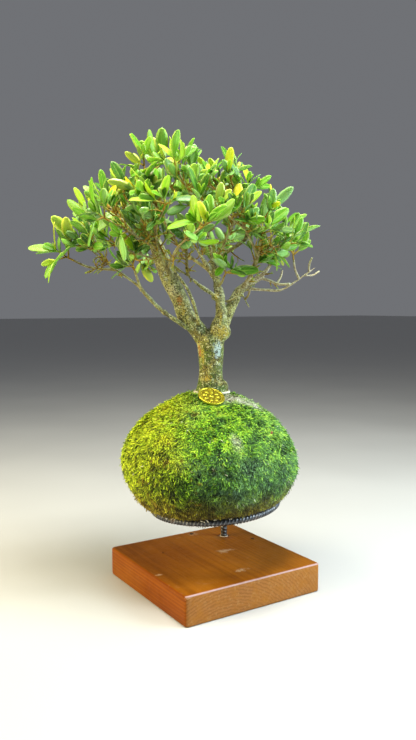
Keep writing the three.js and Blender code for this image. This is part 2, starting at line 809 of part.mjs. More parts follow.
for (const line of LINES) line.run = stations(line.controls, line.steps);
const grown = growBranches(LINES);
grown.forEach(thicken);
const wood = whole(
  joined([
    ...LINES.map((line) => bar(line.run, line.sides)),
    ...grown.map((branch) => bar(branch.run, branch.sides)),
    swelling(BURL),
    swelling(ROOT_BULGE),
  ]),
  WOOD_SLIVER,
);

// The plain hole for the root: the trunk's own foot, a little wider, up through the moss.
const rootRun = LINES[0].run.slice(0, 4).map(({ at, radius }) => ({ at: at.clone(), radius: radius + 0.45 }));
rootRun[0].at.z -= 0.4;
rootRun.push({ at: new THREE.Vector3(-0.4, 0, 200), radius: 16.85 });
const rootHole = bar(rootRun, 12);
const soil = ballBody(ovalProfile(0), SOIL_SEGMENTS, centred).subtract(rootHole);
const mossInside = ballBody(ovalProfile(GAP + 0.1), SOIL_SEGMENTS, centred);
const moss = mossOutside().subtract(mossInside).subtract(rootHole);

const object = new THREE.Group();
object.add(named("base_block", block(), WOOD));

const plant = new THREE.Group();
plant.rotation.z = PLANT_TURN;
const postPlace = new THREE.Vector3(POST_X, POST_Y, 0);
postPlace.applyAxisAngle(new THREE.Vector3(0, 0, 1), -PLANT_TURN);
const underRing = ringHeight(postPlace.x, postPlace.y) - BAR_RADIUS - RIB_HEIGHT - GAP;
object.add(named("rebar_post", post(underRing), STEEL));
plant.add(named("rebar_ring", ring(), STEEL));
plant.add(named("soil_core", soil, SOIL));
plant.add(named("moss_skin", moss, MOSS));
plant.add(named("tree_wood", wood, BARK));

const sprays = growSprays([...LINES, ...grown].filter((branch) => branch.spray), wood);
sprays.forEach((spray, k) => {
  const body = whole(joined(spray.bodies.map((piece) => piece.body)));
  plant.add(named("leaf_spray_" + String(k + 1).padStart(2, "0"), body, LEAF));
});

const nameDisc = named("foot_disc", disc(), GOLD);
nameDisc.position.copy(DISC_AT);
nameDisc.rotation.set(DISC_TILT, DISC_ROLL, 0);
plant.add(nameDisc);

object.add(plant);

export default object;
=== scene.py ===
"""The looks of a small moss ball tree on its ring, post and wooden block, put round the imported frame.

Lengths here are millimetres in the plant's own frame, x to the right and y away from its best side, as in
the part's source; turned() takes them to the row frame in metres. The block's are in the row frame's axes.
"""

import json
import math

import bpy
import numpy as np
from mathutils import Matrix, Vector
from mathutils.kdtree import KDTree

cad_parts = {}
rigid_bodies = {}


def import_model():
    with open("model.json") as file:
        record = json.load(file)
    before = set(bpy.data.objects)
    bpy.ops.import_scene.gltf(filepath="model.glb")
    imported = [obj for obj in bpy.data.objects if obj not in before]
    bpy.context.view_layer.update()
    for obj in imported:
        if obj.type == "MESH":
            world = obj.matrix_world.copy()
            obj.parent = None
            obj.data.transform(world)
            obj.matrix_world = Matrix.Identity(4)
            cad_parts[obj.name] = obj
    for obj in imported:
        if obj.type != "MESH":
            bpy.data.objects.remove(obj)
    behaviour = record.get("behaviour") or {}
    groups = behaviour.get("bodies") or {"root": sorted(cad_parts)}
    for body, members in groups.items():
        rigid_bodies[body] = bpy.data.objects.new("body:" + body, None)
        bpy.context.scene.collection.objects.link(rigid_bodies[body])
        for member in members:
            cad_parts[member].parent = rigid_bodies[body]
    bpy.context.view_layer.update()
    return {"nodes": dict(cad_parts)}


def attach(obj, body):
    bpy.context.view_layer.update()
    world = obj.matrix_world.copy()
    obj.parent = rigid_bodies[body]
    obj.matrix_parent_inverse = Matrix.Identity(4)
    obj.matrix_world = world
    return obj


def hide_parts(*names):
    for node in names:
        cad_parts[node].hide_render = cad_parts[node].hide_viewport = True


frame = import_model()

MM = 0.001
CAMERA_PLACE, CAMERA_PITCH = np.array([-4.07, -688.6, 274.41]), 5.123
FOCAL, PICTURE_MIDDLE = 710.93, (208, 370)
PLANT_TURN = math.radians(-32.6)
GOLDEN_ANGLE = math.pi * (3 - math.sqrt(5))

# Sizes shared with the part's source
BLOCK_SIDE, BLOCK_HEIGHT, BLOCK_CORNER, BLOCK_BEVEL = 150, 28, 3, 1.6
BAR_RADIUS, RIB_HEIGHT = 3.1, 0.35
POST_PLACE, HOLE_FLOOR = (43, 43), 6.0
RING_RADIUS, RING_X, RING_Z = 60.6, 3, 80.7
RING_RISE = (math.tan(math.radians(3.6)), math.tan(math.radians(1.2)))
BALL_X, BALL_FOOT_X = -3.6, 1.5
GROOVE = BAR_RADIUS + RIB_HEIGHT + 0.65
CROWN_CENTRE = np.array([-36.0, 0, 318])
CROWN_REACH = np.array([108.0, 90, 90])
CROWN_LEFT_REACH = 98
GROWN_SPRAYS, CROWN_FIRST_TURN, TIP_RADIUS = 32, 3.0, 1.0
TWIG_TRIES, LEAF_TRIES = 10, 9
LEAVES_ON_TWIG, YOUNG_AT_TIP, LEAVES_ON_SHOOT, LEAF_PIECES = (3, 3, 2), 2, 4, 8
DISC_PLACE, DISC_TILT = (-0.9, -26.9, 190.2), (math.radians(27), math.radians(13))
DISC_BED, DISC_BED_SLOPE = 2.2, math.tan(math.radians(8))
DISC_RADIUS, DISC_THICKNESS, DISC_RELIEF = 12.8, 1.2, 0.5

# The tree's own lines, as x, y, z and radius, the same as in the part's source
ROOT = [
    (0, 0, 150, 11), (0, 0, 170, 14.5), (-0.4, 0, 184, 16.4), (-0.4, 0, 190, 16.4),
    (-0.8, 0, 195, 14.6), (-1.2, 0, 202, 12.2), (-1.4, 0, 213, 11.2), (-1.1, 0, 227, 12),
    (-1.6, 0, 238, 13), (-2, 0, 245, 12), (-2, 0, 249, 7),
]
LEFT_LIMB = [
    (-5, 0, 238, 8.4), (-13.5, -2, 251, 8.4), (-24.5, -4, 264, 8.4), (-31, -5, 281, 8),
    (-42, -5, 304, 8.3), (-51, -3, 326, 7), (-57, 0, 342, 5),
]
MIDDLE_LIMB = [
    (2, 0, 240, 8.5), (5, -1, 254, 7), (8, -2, 266, 5.2), (7, -1, 281, 4.2), (4, 1, 299, 3.8),
    (1, 3, 318, 3.2), (-5, 6, 345, 2.6), (-10, 8, 368, 2),
]
RIGHT_LIMB = [
    (5, 2, 245, 7), (13, 3, 263, 6), (22, 4, 281, 5), (30, 4, 293, 4.4), (47, 2, 303, 3.2),
    (58, 1, 318, 2.6), (67, 2, 336, 2),
]
BACK_LIMB = [
    (3, 4, 242, 6.5), (9, 14, 264, 4.2), (9, 27, 288, 3.6), (-2, 38, 310, 3.1),
    (-16, 46, 334, 2.4),
]
DIAGONAL = [
    (2, 3, 313, 2.4), (8, 0, 322, 2), (31, -6, 337, 1.8), (48, -10, 356, 1.4),
]
CROSSING = [
    (7, -1, 281, 2.8), (0, -5, 286, 2.4), (-12, -9, 294, 2.1), (-23, -12, 303, 2),
    (-45, -18, 319, 1.8), (-60, -22, 340, 1.5),
]
CROSSING_TWIG = [
    (-23, -12, 303, 1.9), (-24, -13, 312, 1.7), (-24, -18, 326, 1.4),
]
THIN_LEFT = [
    (-8.5, -5, 247, 3), (-13, -11, 261, 2.4), (-17, -15, 275, 2.1), (-23, -18, 290, 1.9),
    (-34, -22, 306, 1.7), (-44, -28, 322, 1.5),
]
LOW_LEFT = [
    (-8, -3, 243, 4), (-22, -8, 252, 3.1), (-30, -11, 258, 3), (-47, -16, 270, 2.7),
    (-60, -20, 283, 2.4), (-71, -22, 295, 2.2), (-92, -24, 310, 1.7), (-112, -24, 326, 1.3),
]
FAR_LEFT = [
    (-90, -24, 308.5, 1.5), (-104, -27, 309, 1.4), (-116, -28, 311, 1.2), (-127, -27, 316, 1),
]
LEFT_TWIG = [
    (-66, -21, 289, 1.5), (-69, -28, 299, 1.3), (-71, -33, 307, 1.1),
]
LONG_RIGHT = [
    (27, 4, 289, 3), (38, 2, 291, 2.4), (52, 0, 290, 2.1), (66, -2, 290, 1.9),
    (79, -4, 297.5, 1.6), (88, -5, 304, 1.3), (98, -6, 311, 1),
]
RIGHT_LOOP = [
    (46, 2, 302, 1.9), (55, 1, 299, 1.6), (64, -1, 295.5, 1.5), (75, -3.5, 295.5, 1.4),
]
LOOP_TWIG = [
    (62, 0, 296, 1.2), (66, 3, 302, 1), (68, 5, 309, 0.8),
]
UPRIGHT = [
    (83, -4.5, 300.5, 1.2), (79, -6, 309, 1.1), (77, -9, 318, 1),
]
END_TWIG = [
    (92, -5.3, 306.5, 1), (92, -9, 314, 0.9), (94, -12, 320, 0.8),
]
LAST_TWIG = [
    (88, -5, 304, 1), (96, -2, 304, 0.9), (103, 1, 308, 0.8),
]
HANGING = [
    (28, 4, 290, 2.2), (31, 0, 282, 1.6), (36, -2, 273, 1.1),
]
HANGING_PRONG = [
    (31.5, -0.5, 281, 1.3), (34.5, -3, 284.5, 1.1), (36, -6, 290, 0.9),
]
FRONT_TWIG = [
    (5, 0, 292, 1.7), (9, -9, 297, 1.3), (11, -15, 302, 1.1),
]
FRONT_RIGHT = [
    (29, 4, 291, 2.6), (37, -11, 305, 2.1), (42, -26, 321, 1.7), (44, -38, 336, 1.4),
]
FRONT_LEFT = [
    (-36, -5, 292, 3), (-42, -19, 309, 2.3), (-50, -33, 326, 1.8), (-58, -44, 341, 1.4),
]
RIGHT_TWIG = [
    (31, 4, 293, 1.8), (35, 0, 302, 1.4), (38, -5, 311, 1.1),
]
# Each line: its controls, how far along it the crown's branches start, if it ends in a spray, if it is stout wood
LINES = [
    (ROOT, 2, False, True), (LEFT_LIMB, 0.5, False, True), (MIDDLE_LIMB, 0.6, True, True),
    (RIGHT_LIMB, 0.65, True, True), (BACK_LIMB, 0.6, True, True), (DIAGONAL, 0.5, True, False),
    (FRONT_RIGHT, 0.3, True, False), (FRONT_LEFT, 0.3, True, False), (CROSSING, 0.7, True, True),
    (CROSSING_TWIG, 0.4, True, False), (THIN_LEFT, 0.75, True, True), (LOW_LEFT, 0.72, True, True),
    (FAR_LEFT, 2, True, False), (LEFT_TWIG, 2, True, False), (LONG_RIGHT, 2, False, True),
    (RIGHT_LOOP, 2, False, False), (LOOP_TWIG, 2, False, False), (UPRIGHT, 2, True, False),
    (END_TWIG, 2, False, False), (LAST_TWIG, 2, False, False), (HANGING, 2, False, True),
    (HANGING_PRONG, 2, False, False), (FRONT_TWIG, 2, True, False), (RIGHT_TWIG, 2, True, False),
]
SWELLINGS = [((7.4, -1.5, 250), (10.6, 10, 10)), ((7.6, -3, 196), (8, 7.2, 8.4))]
KNUCKLES = [((-45, -15.3, 268.6), (3.1, 3, 2.8)), ((4, -1, 283), (5, 4.6, 3.4)), ((11, 1, 259), (7, 6, 4))]
STUBS = [
    ((3, -3, 283), (-2, -6, 286.5)), ((13, -1, 279), (24, -5, 284)), ((-33, -9, 282), (-38, -13, 288)),
    ((-4, -5, 247), (-6, -9, 251)), ((-2, -4, 248), (-1, -8, 253)), ((-5, -4, 248), (-3, -6, 254)),
    ((0, -4, 247), (2, -8, 250)), ((-3, -4, 248), (-8, -7, 253)), ((1, -1, 249), (-1, -2, 255)),
]


# ---- Numbers, noise and meshes ----


def unit(vectors):
    """The vectors divided by their own lengths."""
    return vectors / np.maximum(np.linalg.norm(vectors, axis=-1, keepdims=True), 1e-12)


def turned(points):
    """From the plant's frame in millimetres to the row frame in metres: turned about Z, then scaled."""
    c, s = math.cos(PLANT_TURN), math.sin(PLANT_TURN)
    return points @ np.array([[c, s, 0], [-s, c, 0], [0, 0, 1]]) * MM


def unturned(points):
    """From the row frame in metres back to the plant's frame in millimetres."""
    c, s = math.cos(PLANT_TURN), math.sin(PLANT_TURN)
    return points @ np.array([[c, -s, 0], [s, c, 0], [0, 0, 1]]) / MM


def stream(seed):
    """The part's own stream from 0 to 1: times, plus, keep the low 32 bits; the first two are dropped."""
    state = (seed * 7919 + 104729) % 2**32

    def draw():
        nonlocal state
        state = (state * 1664525 + 1013904223) % 2**32
        return state / 2**32

    draw()
    draw()
    return draw


def cell_value(cells, seed):
    """A number from 0 to 1 for each whole-number cell: its indices times large primes, mixed and masked."""
    mixed = cells[..., 0] * 374761393 + cells[..., 1] * 668265263 + cells[..., 2] * 1442695041 + seed * 97
    mixed = (mixed ^ (mixed >> 13)) * 1274126177
    mixed = mixed ^ (mixed >> 16)
    return (mixed & 0xFFFFFF) / 0xFFFFFF


def rough(points, size, seed=0, octaves=1):
    """Value noise from -1 to 1: cell values blended smoothly in space, each octave half as large and strong."""
    total, weights = 0.0, 0.0
    for octave in range(octaves):
        place = points / size * 2**octave + 31.7 * (octave + 1)
        cell = np.floor(place).astype(np.int64)
        share = place - cell
        share = share * share * (3 - 2 * share)
        value = 0.0
        for corner in np.ndindex(2, 2, 2):
            part = np.prod(np.where(np.array(corner) == 1, share, 1 - share), axis=-1)
            value = value + part * cell_value(cell + np.array(corner), seed + octave)
        total = total + 0.5**octave * (2 * value - 1)
        weights += 0.5**octave
    return total / weights


def step(value, low, high):
    """0 below low, 1 above high, smooth between; low may be above high."""
    share = np.clip((value - low) / (high - low), 0, 1)
    return share * share * (3 - 2 * share)


def circle(count):
    """Evenly spaced angles, once round."""
    return np.linspace(0, 2 * np.pi, count, endpoint=False)


def shares_along(points):
    """The share of a run's whole length that lies before each of its points."""
    length = np.concatenate([[0], np.cumsum(np.linalg.norm(np.diff(points, axis=0), axis=1))])
    return length / max(length[-1], 1e-9)


def spokes(across, over, sides):
    """Directions round each centre: cos a * across + sin a * over, at evenly spaced angles a."""
    angle = 2 * np.pi * np.arange(sides)[:, None] / sides
    return np.cos(angle) * across[:, None] + np.sin(angle) * over[:, None]


def stations(controls, steps):
    """The smooth run through controls: each span is the cubic whose end slopes follow its neighbours."""
    rows = np.asarray(controls, float)
    rows = np.vstack([2 * rows[0] - rows[1], rows, 2 * rows[-1] - rows[-2]])
    spans = len(rows) - 3
    k = np.arange(spans * steps + 1)
    span = np.minimum(k // steps, spans - 1)
    t = (k / steps - span)[:, None]
    a, b, c, d = (rows[span + i] for i in range(4))
    return b + 0.5 * t * (c - a + t * (2 * a - 5 * b + 4 * c - d + t * (3 * (b - c) + d - a)))


def grid_faces(rows, columns, wrap=False):
    """The quads of a grid of points stored row by row; with wrap the last column joins the first."""
    across = columns if wrap else columns - 1
    i, j = np.meshgrid(np.arange(rows - 1), np.arange(across), indexing="ij")
    near, far = i * columns, (i + 1) * columns
    next_j = (j + 1) % columns
    return np.stack([near + j, near + next_j, far + next_j, far + j], -1).reshape(-1, 4)


def end_caps(rows, columns):
    """The two polygons that close a tube of so many rings, the first one turned to face outwards."""
    return np.array([np.arange(columns)[::-1], (rows - 1) * columns + np.arange(columns)])


def ring_faces(steps, sides):
    """The quads of a tube bent round to meet its own first ring, facing outwards."""
    seam, last = np.arange(sides), (steps - 1) * sides
    closing = np.stack([last + seam, last + (seam + 1) % sides, (seam + 1) % sides, seam], -1)
    return np.concatenate([grid_faces(steps, sides, wrap=True), closing])[:, ::-1]


def shape(points, faces, **marks):
    """Points, their faces as arrays of equal-sided polygons, and numbers marked on the points."""
    return {"points": np.reshape(points, (-1, 3)), "faces": faces, "marks": marks}


def gathered(shapes):
    """Several shapes as one: each one's faces are moved on by the number of points before it."""
    faces, before = {}, 0
    for one in shapes:
        for block in one["faces"]:
            faces.setdefault(block.shape[1], []).append(block + before)
        before += len(one["points"])
    marks = {
        key: np.concatenate([np.broadcast_to(one["marks"][key], len(one["points"])) for one in shapes])
        for key in shapes[0]["marks"]
    }
    points = np.concatenate([one["points"] for one in shapes])
    return {"points": points, "faces": [np.concatenate(b) for b in faces.values()], "marks": marks}


def copies(points, faces, **marks):
    """Many copies of one small mesh: points by copy, and the same faces moved on for each copy."""
    count, each = points.shape[:2]
    steps = np.arange(count)[:, None, None] * each
    blocks = [(face[None] + steps).reshape(-1, face.shape[1]) for face in faces]
    return shape(points, blocks, **{key: np.broadcast_to(m, (count, each)).ravel() for key, m in marks.items()})


def mesh_of(name, made, places):
    """A mesh from a shape, with its marks as numbers on the points."""
    mesh = bpy.data.meshes.new(name)
    corners = np.concatenate([block.ravel() for block in made["faces"]]).astype(np.int32)
    sides = np.concatenate([np.full(len(block), block.shape[1]) for block in made["faces"]])
    mesh.vertices.add(len(places))
    mesh.vertices.foreach_set("co", places.astype(np.float32).ravel())
    mesh.loops.add(len(corners))
    mesh.loops.foreach_set("vertex_index", corners)
    mesh.polygons.add(len(sides))
    mesh.polygons.foreach_set("loop_start", (np.cumsum(sides) - sides).astype(np.int32))
    mesh.update(calc_edges=True)
    for key, values in made["marks"].items():
        mark = mesh.attributes.new(key, "FLOAT", "POINT")
        mark.data.foreach_set("value", np.asarray(values, np.float32))
    return mesh


def placed(name, data):
    """A new object of the scene, at the origin."""
    thing = bpy.data.objects.new(name, data)
    bpy.context.scene.collection.objects.link(thing)
    return thing


def piece(name, made, finish, slot, *nodes, smooth=True, on_block=False):
    """A finished piece at the origin: it rides on the root and stands for CAD nodes. The slot is not used."""
    places = made["points"] * MM if on_block else turned(made["points"])
    mesh = mesh_of(name, made, places)
    if smooth:
        mesh.shade_smooth()
    mesh.materials.append(finish)
    thing = placed(name, mesh)
    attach(thing, "root")
    if nodes:
        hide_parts(*nodes)
    return thing


def round_bar(run, sides, closed=True, swell=None):
    """Rings round a run: centre + radius * spoke, with flat polygons on its ends."""
    at, radius = run[:, :3], run[:, 3]
    ahead = unit(np.gradient(at, axis=0))
    steady = np.eye(3)[np.abs(ahead.mean(0)).argmin()]
    across = unit(np.cross(ahead, steady))
    out = spokes(across, np.cross(ahead, across), sides)
    reach = np.broadcast_to(radius[:, None, None], (len(run), sides, 1))
    if swell is not None:
        reach = reach * (1 + swell(at[:, None] + reach * out)[..., None])
    faces = [grid_faces(len(run), sides, wrap=True)]
    if closed:
        faces.append(end_caps(len(run), sides))
    return shape(at[:, None] + reach * out, faces, along=np.repeat(shares_along(at), sides))


# ---- The crown's own branches and sprays, by the same rule as the solids ----


def heading(run, k):
    """The unit direction of a run at one of its stations."""
    return unit(run[min(k + 1, len(run) - 1), :3] - run[max(k - 1, 0), :3])


def crown_places():
    """Spray starts: golden-angle turns on a dome between ball and cone, on three depths."""
    k = np.arange(GROWN_SPRAYS)
    out = ((k + 0.5) / GROWN_SPRAYS) ** 0.44
    height = 0.5 * (np.sqrt(1 - out * out) + 1 - out * out)
    turn = CROWN_FIRST_TURN + k * GOLDEN_ANGLE
    place = np.stack([out * np.cos(turn), out * np.sin(turn), height], -1)
    reach = np.tile(CROWN_REACH, (GROWN_SPRAYS, 1))
    reach[place[:, 0] < 0, 0] = CROWN_LEFT_REACH
    return place * (1 - 0.09 * (k % 3))[:, None] * reach + CROWN_CENTRE


def grow_branches(lines):
    """Each place, nearest the fork first, is joined to the standing wood that reaches it at least cost."""
    fork = np.array([-2.0, 0, 245])
    joints = []

    def add_joints(branch, first, last):
        run = branch["run"]
        for k in range(first, last + 1):
            joints.append((branch, run[k, :3], heading(run, k)))
            if k < last:
                stride = run[k + 1, :3] - run[k, :3]
                joints.append((branch, run[k, :3] + 0.5 * stride, unit(stride)))

    for line in lines:
        last = len(line["run"]) - 1
        add_joints(line, math.ceil(line["bears_from"] * last), last - (1 if line["spray"] else 0))
    places = sorted(crown_places(), key=lambda place: np.linalg.norm(place - fork))
    grown = []
    for number, place in enumerate(places):
        draw = stream(500 + number)
        way = place - np.array([joint[1] for joint in joints])
        length = np.linalg.norm(way, axis=1)
        flatness = np.maximum(0, 0.4 * np.hypot(way[:, 0], way[:, 1]) - way[:, 2])
        agree = (way * np.array([joint[2] for joint in joints])).sum(1) / length
        cost = np.where(length > 14, length * (1.9 - agree) + 2 * flatness, np.inf)
        best = int(cost.argmin())
        parent, start, ahead = joints[best]
        jitter = np.array([draw() - 0.5, draw() - 0.5, draw() - 0.8]) * 0.12 * length[best]
        middle = start + 0.5 * (place - start) + 0.1 * length[best] * ahead + jitter
        controls = np.column_stack([[start, middle, place], np.full(3, TIP_RADIUS)])
        branch = {"controls": controls, "run": stations(controls, 2), "load": 1, "parent": parent, "spray": True}
        branch["stout"] = False
        add_joints(branch, 1, len(branch["run"]) - 2)
        grown.append(branch)
        while parent:
            parent["load"] = parent.get("load", 1) + 1
            parent = parent.get("parent")
    for branch in grown:
        root = 0.75 + 0.4 * math.sqrt(branch["load"])
        branch["controls"][:, 3] = np.linspace(root, TIP_RADIUS, 3)
    return grown


def twigs_of(branch, number, attempt):
    """A leader and two side twigs as runs of places, drawn for one attempt."""
    draw = stream(900 + 60 * attempt + number)
    run = branch["run"]
    end, arriving = run[-1, :3], heading(run, len(run) - 1)
    normal = unit((end - CROWN_CENTRE) / CROWN_REACH / CROWN_REACH)
    ahead = normal * 0.5 + arriving * 0.75 + np.array([draw() - 0.5, draw() - 0.5, draw() - 0.05])
    ahead[2] = max(ahead[2], 0.3)
    ahead = unit(ahead)
    side = unit(np.array([-ahead[1], ahead[0], 0.01]))
    over = np.cross(ahead, side)
    root = end + 0.3 * arriving
    reach = 13 + 5 * draw()
    bend = root + 0.35 * reach * arriving + 0.1 * reach * ahead
    runs = [np.array([root, bend, bend + 0.6 * reach * ahead])]
    turn = 2 * math.pi * draw()
    for which in (0, 1):
        angle = turn + which * math.pi + 0.7 * (draw() - 0.5)
        away = unit(0.62 * ahead + math.cos(angle) * side + math.sin(angle) * over + np.array([0, 0, 0.15]))
        start = root + (bend - root) * (1 if which else 0.75)
        runs.append(np.array([start, start + away * (9 + 4 * draw())]))
    return runs


def leaf_try(twig, place, attempt, draw):
    """One leaf drawn round a twig's tip: root, direction, upper side, length, width and arch."""
    along = unit(twig[-1] - twig[-2])
    side = unit(np.array([-along[1], along[0], 0.02]))
    over = np.cross(along, side)
    turn = place * GOLDEN_ANGLE + 2 * math.pi * draw()
    spread = 0.3 + 0.75 * draw()
    ahead = math.cos(spread) * along + math.sin(spread) * (math.cos(turn) * side + math.sin(turn) * over)
    ahead = unit(ahead + np.array([0, 0, 0.22]))
    upper = unit(along - along.dot(ahead) * ahead)
    length = (15 + 15 * draw() ** 1.5) * (1 - 0.04 * attempt)
    width = length * (0.33 + 0.09 * draw())
    arch = 0.02 + 0.16 * draw()
    return np.concatenate([twig[-1] - (0.3 + 2.2 * place) * along, ahead, upper, [length, width, arch]])


def solid_corners():
    """The corners of all the leaf sprays' solids in the plant's frame, to be searched by place."""
    found = []
    for name, node in frame["nodes"].items():
        if name.startswith("leaf_spray"):
            flat = np.empty(3 * len(node.data.vertices), np.float32)
            node.data.vertices.foreach_get("co", flat)
            found.append(flat.reshape(-1, 3).astype(float))
    corners = np.unique(np.round(unturned(np.concatenate(found)), 3), axis=0)
    tree = KDTree(len(corners))
    for k, corner in enumerate(corners):
        tree.insert(corner, k)
    tree.balance()
    return tree


def grow_sprays(branches):
    """Each spray's twigs and leaves, taken from the tries whose leaf tips are corners of the solids."""
    tree = solid_corners()
    sprays = []
    for number, branch in enumerate(branches):
        best = {"leaves": []}
        for attempt in range(TWIG_TRIES):
            twigs, leaves = twigs_of(branch, number, attempt), []
            for which, twig in enumerate(twigs):
                for place in range(LEAVES_ON_TWIG[which]):
                    draw = stream(2000 + 40 * number + 4 * which + place)
                    for turn in range(LEAF_TRIES):
                        leaf = leaf_try(twig, place, turn, draw)
                        tip = leaf[:3] + leaf[9] * leaf[3:6] - leaf[11] * leaf[9] * leaf[6:9]
                        if tree.find(tip)[2] < 0.05:
                            leaves.append(leaf)
                            break
            if len(leaves) > len(best["leaves"]):
                best = {"twigs": twigs, "leaves": leaves, "branch": branch}
            if len(leaves) > 2:
                break
        if best["leaves"]:
            sprays.append(best)
    return sprays


lines = [
    {"controls": np.array(controls, float), "bears_from": bears, "spray": spray, "stout": stout}
    for controls, bears, spray, stout in LINES
]
for line in lines:
    line["run"] = stations(line["controls"], 1)
grown = grow_branches(lines)
sprays = grow_sprays([branch for branch in lines + grown if branch["spray"]])


# ---- Finishes ----


class Finish:
    """A material made of nodes; put() adds one node, sets its plain inputs and links the others."""

    def __init__(self, name):
        self.material = bpy.data.materials.new(name)
        self.material.use_nodes = True
        self.nodes, self.links = self.material.node_tree.nodes, self.material.node_tree.links
        self.nodes.clear()

    def put(self, kind, inputs=None, **settings):
        node = self.nodes.new("ShaderNode" + kind)
        for key, value in settings.items():
            setattr(node, key, value)
        for key, value in (inputs or {}).items():
            if isinstance(value, bpy.types.NodeSocket):
                self.links.new(value, node.inputs[key])
            else:
                node.inputs[key].default_value = value
        return node

    def where(self, stretch=(1, 1, 1), shift=(0, 0, 0)):
        """Object coordinates in metres, shifted and stretched."""
        place = self.put("TexCoord").outputs["Object"]
        return self.put("Mapping", {"Vector": place, "Location": shift, "Scale": stretch}).outputs[0]

    def mark(self, name):
        """The number marked on the piece's points under that name, 0 where it has none."""
        return self.put("Attribute", attribute_name=name).outputs["Fac"]

    def noise(self, scale, detail=3, stretch=(1, 1, 1), roughness=0.55, distortion=0):
        inputs = {"Vector": self.where(stretch), "Scale": scale, "Detail": detail}
        inputs.update({"Roughness": roughness, "Distortion": distortion})
        return self.put("TexNoise", inputs).outputs["Fac"]

    def span(self, value, low, high, to_low=0.0, to_high=1.0):
        """Value from low to high, brought to another range and held at its ends."""
        inputs = {"Value": value, "From Min": low, "From Max": high, "To Min": to_low, "To Max": to_high}
        return self.put("MapRange", inputs).outputs["Result"]

    def maths(self, operation, a, b=0.0):
        return self.put("Math", {0: a, 1: b}, operation=operation).outputs[0]

    def times(self, a, b):
        return self.maths("MULTIPLY", a, b)

    def plus(self, a, b):
        return self.maths("ADD", a, b)

    def length(self, vector):
        return self.put("VectorMath", {0: vector}, operation="LENGTH").outputs["Value"]

    def facing(self):
        """The three parts of the surface's own direction."""
        return self.put("SeparateXYZ", {0: self.put("NewGeometry").outputs["Normal"]}).outputs

    def mix(self, share, a, b, blend="MIX"):
        colour = [(*c, 1) if isinstance(c, tuple) else c for c in (a, b)]
        inputs = {0: share, 6: colour[0], 7: colour[1]}
        return self.put("Mix", inputs, data_type="RGBA", blend_type=blend).outputs[2]

    def tint(self, colour, paint, value, low, high, most=1.0):
        """The colour drawn towards the paint, by up to most, as value goes from low to high."""
        return self.mix(self.span(value, low, high, 0.0, most), colour, paint)

    def ramp(self, value, *stops):
        """Colours at places from 0 to 1, blended between."""
        node = self.put("ValToRGB", {"Fac": value})
        elements = node.color_ramp.elements
        while len(elements) < len(stops):
            elements.new(0.5)
        for element, (place, colour) in zip(elements, stops):
            element.position, element.color = place, (*colour, 1)
        return node.outputs["Color"]

    def bump(self, height, depth, strength=1.0):
        """A bump whose height from 0 to 1 stands for so many metres."""
        return self.put("Bump", {"Height": height, "Strength": strength, "Distance": depth}).outputs["Normal"]

    def done(self, colour, roughness, bump=None, **constants):
        """The shader with linked colour and roughness, and its other sockets set to plain numbers."""
        inputs = {"Base Color": colour, "Roughness": roughness}
        inputs.update({key.replace("_", " "): value for key, value in constants.items()})
        if bump is not None:
            inputs["Normal"] = bump
        shader = self.put("BsdfPrincipled", inputs)
        self.put("OutputMaterial", {"Surface": shader.outputs[0]})
        return self.material


SMEAR, SPECK = (0.5, 0.33, 0.2), (0.02, 0.008, 0.004)
# Smears and specks on the block: x, y, how long and wide in metres, and their colour
WOOD_MARKS = [
    (0.0186, 0.0649, 0.006, 0.005, SMEAR), (0.0165, 0.0662, 0.0026, 0.0019, SPECK),
    (0.0005, -0.0491, 0.008, 0.0035, SMEAR), (0.016, 0.0026, 0.01, 0.005, SMEAR),
    (-0.0703, -0.0186, 0.003, 0.0022, SMEAR),
]


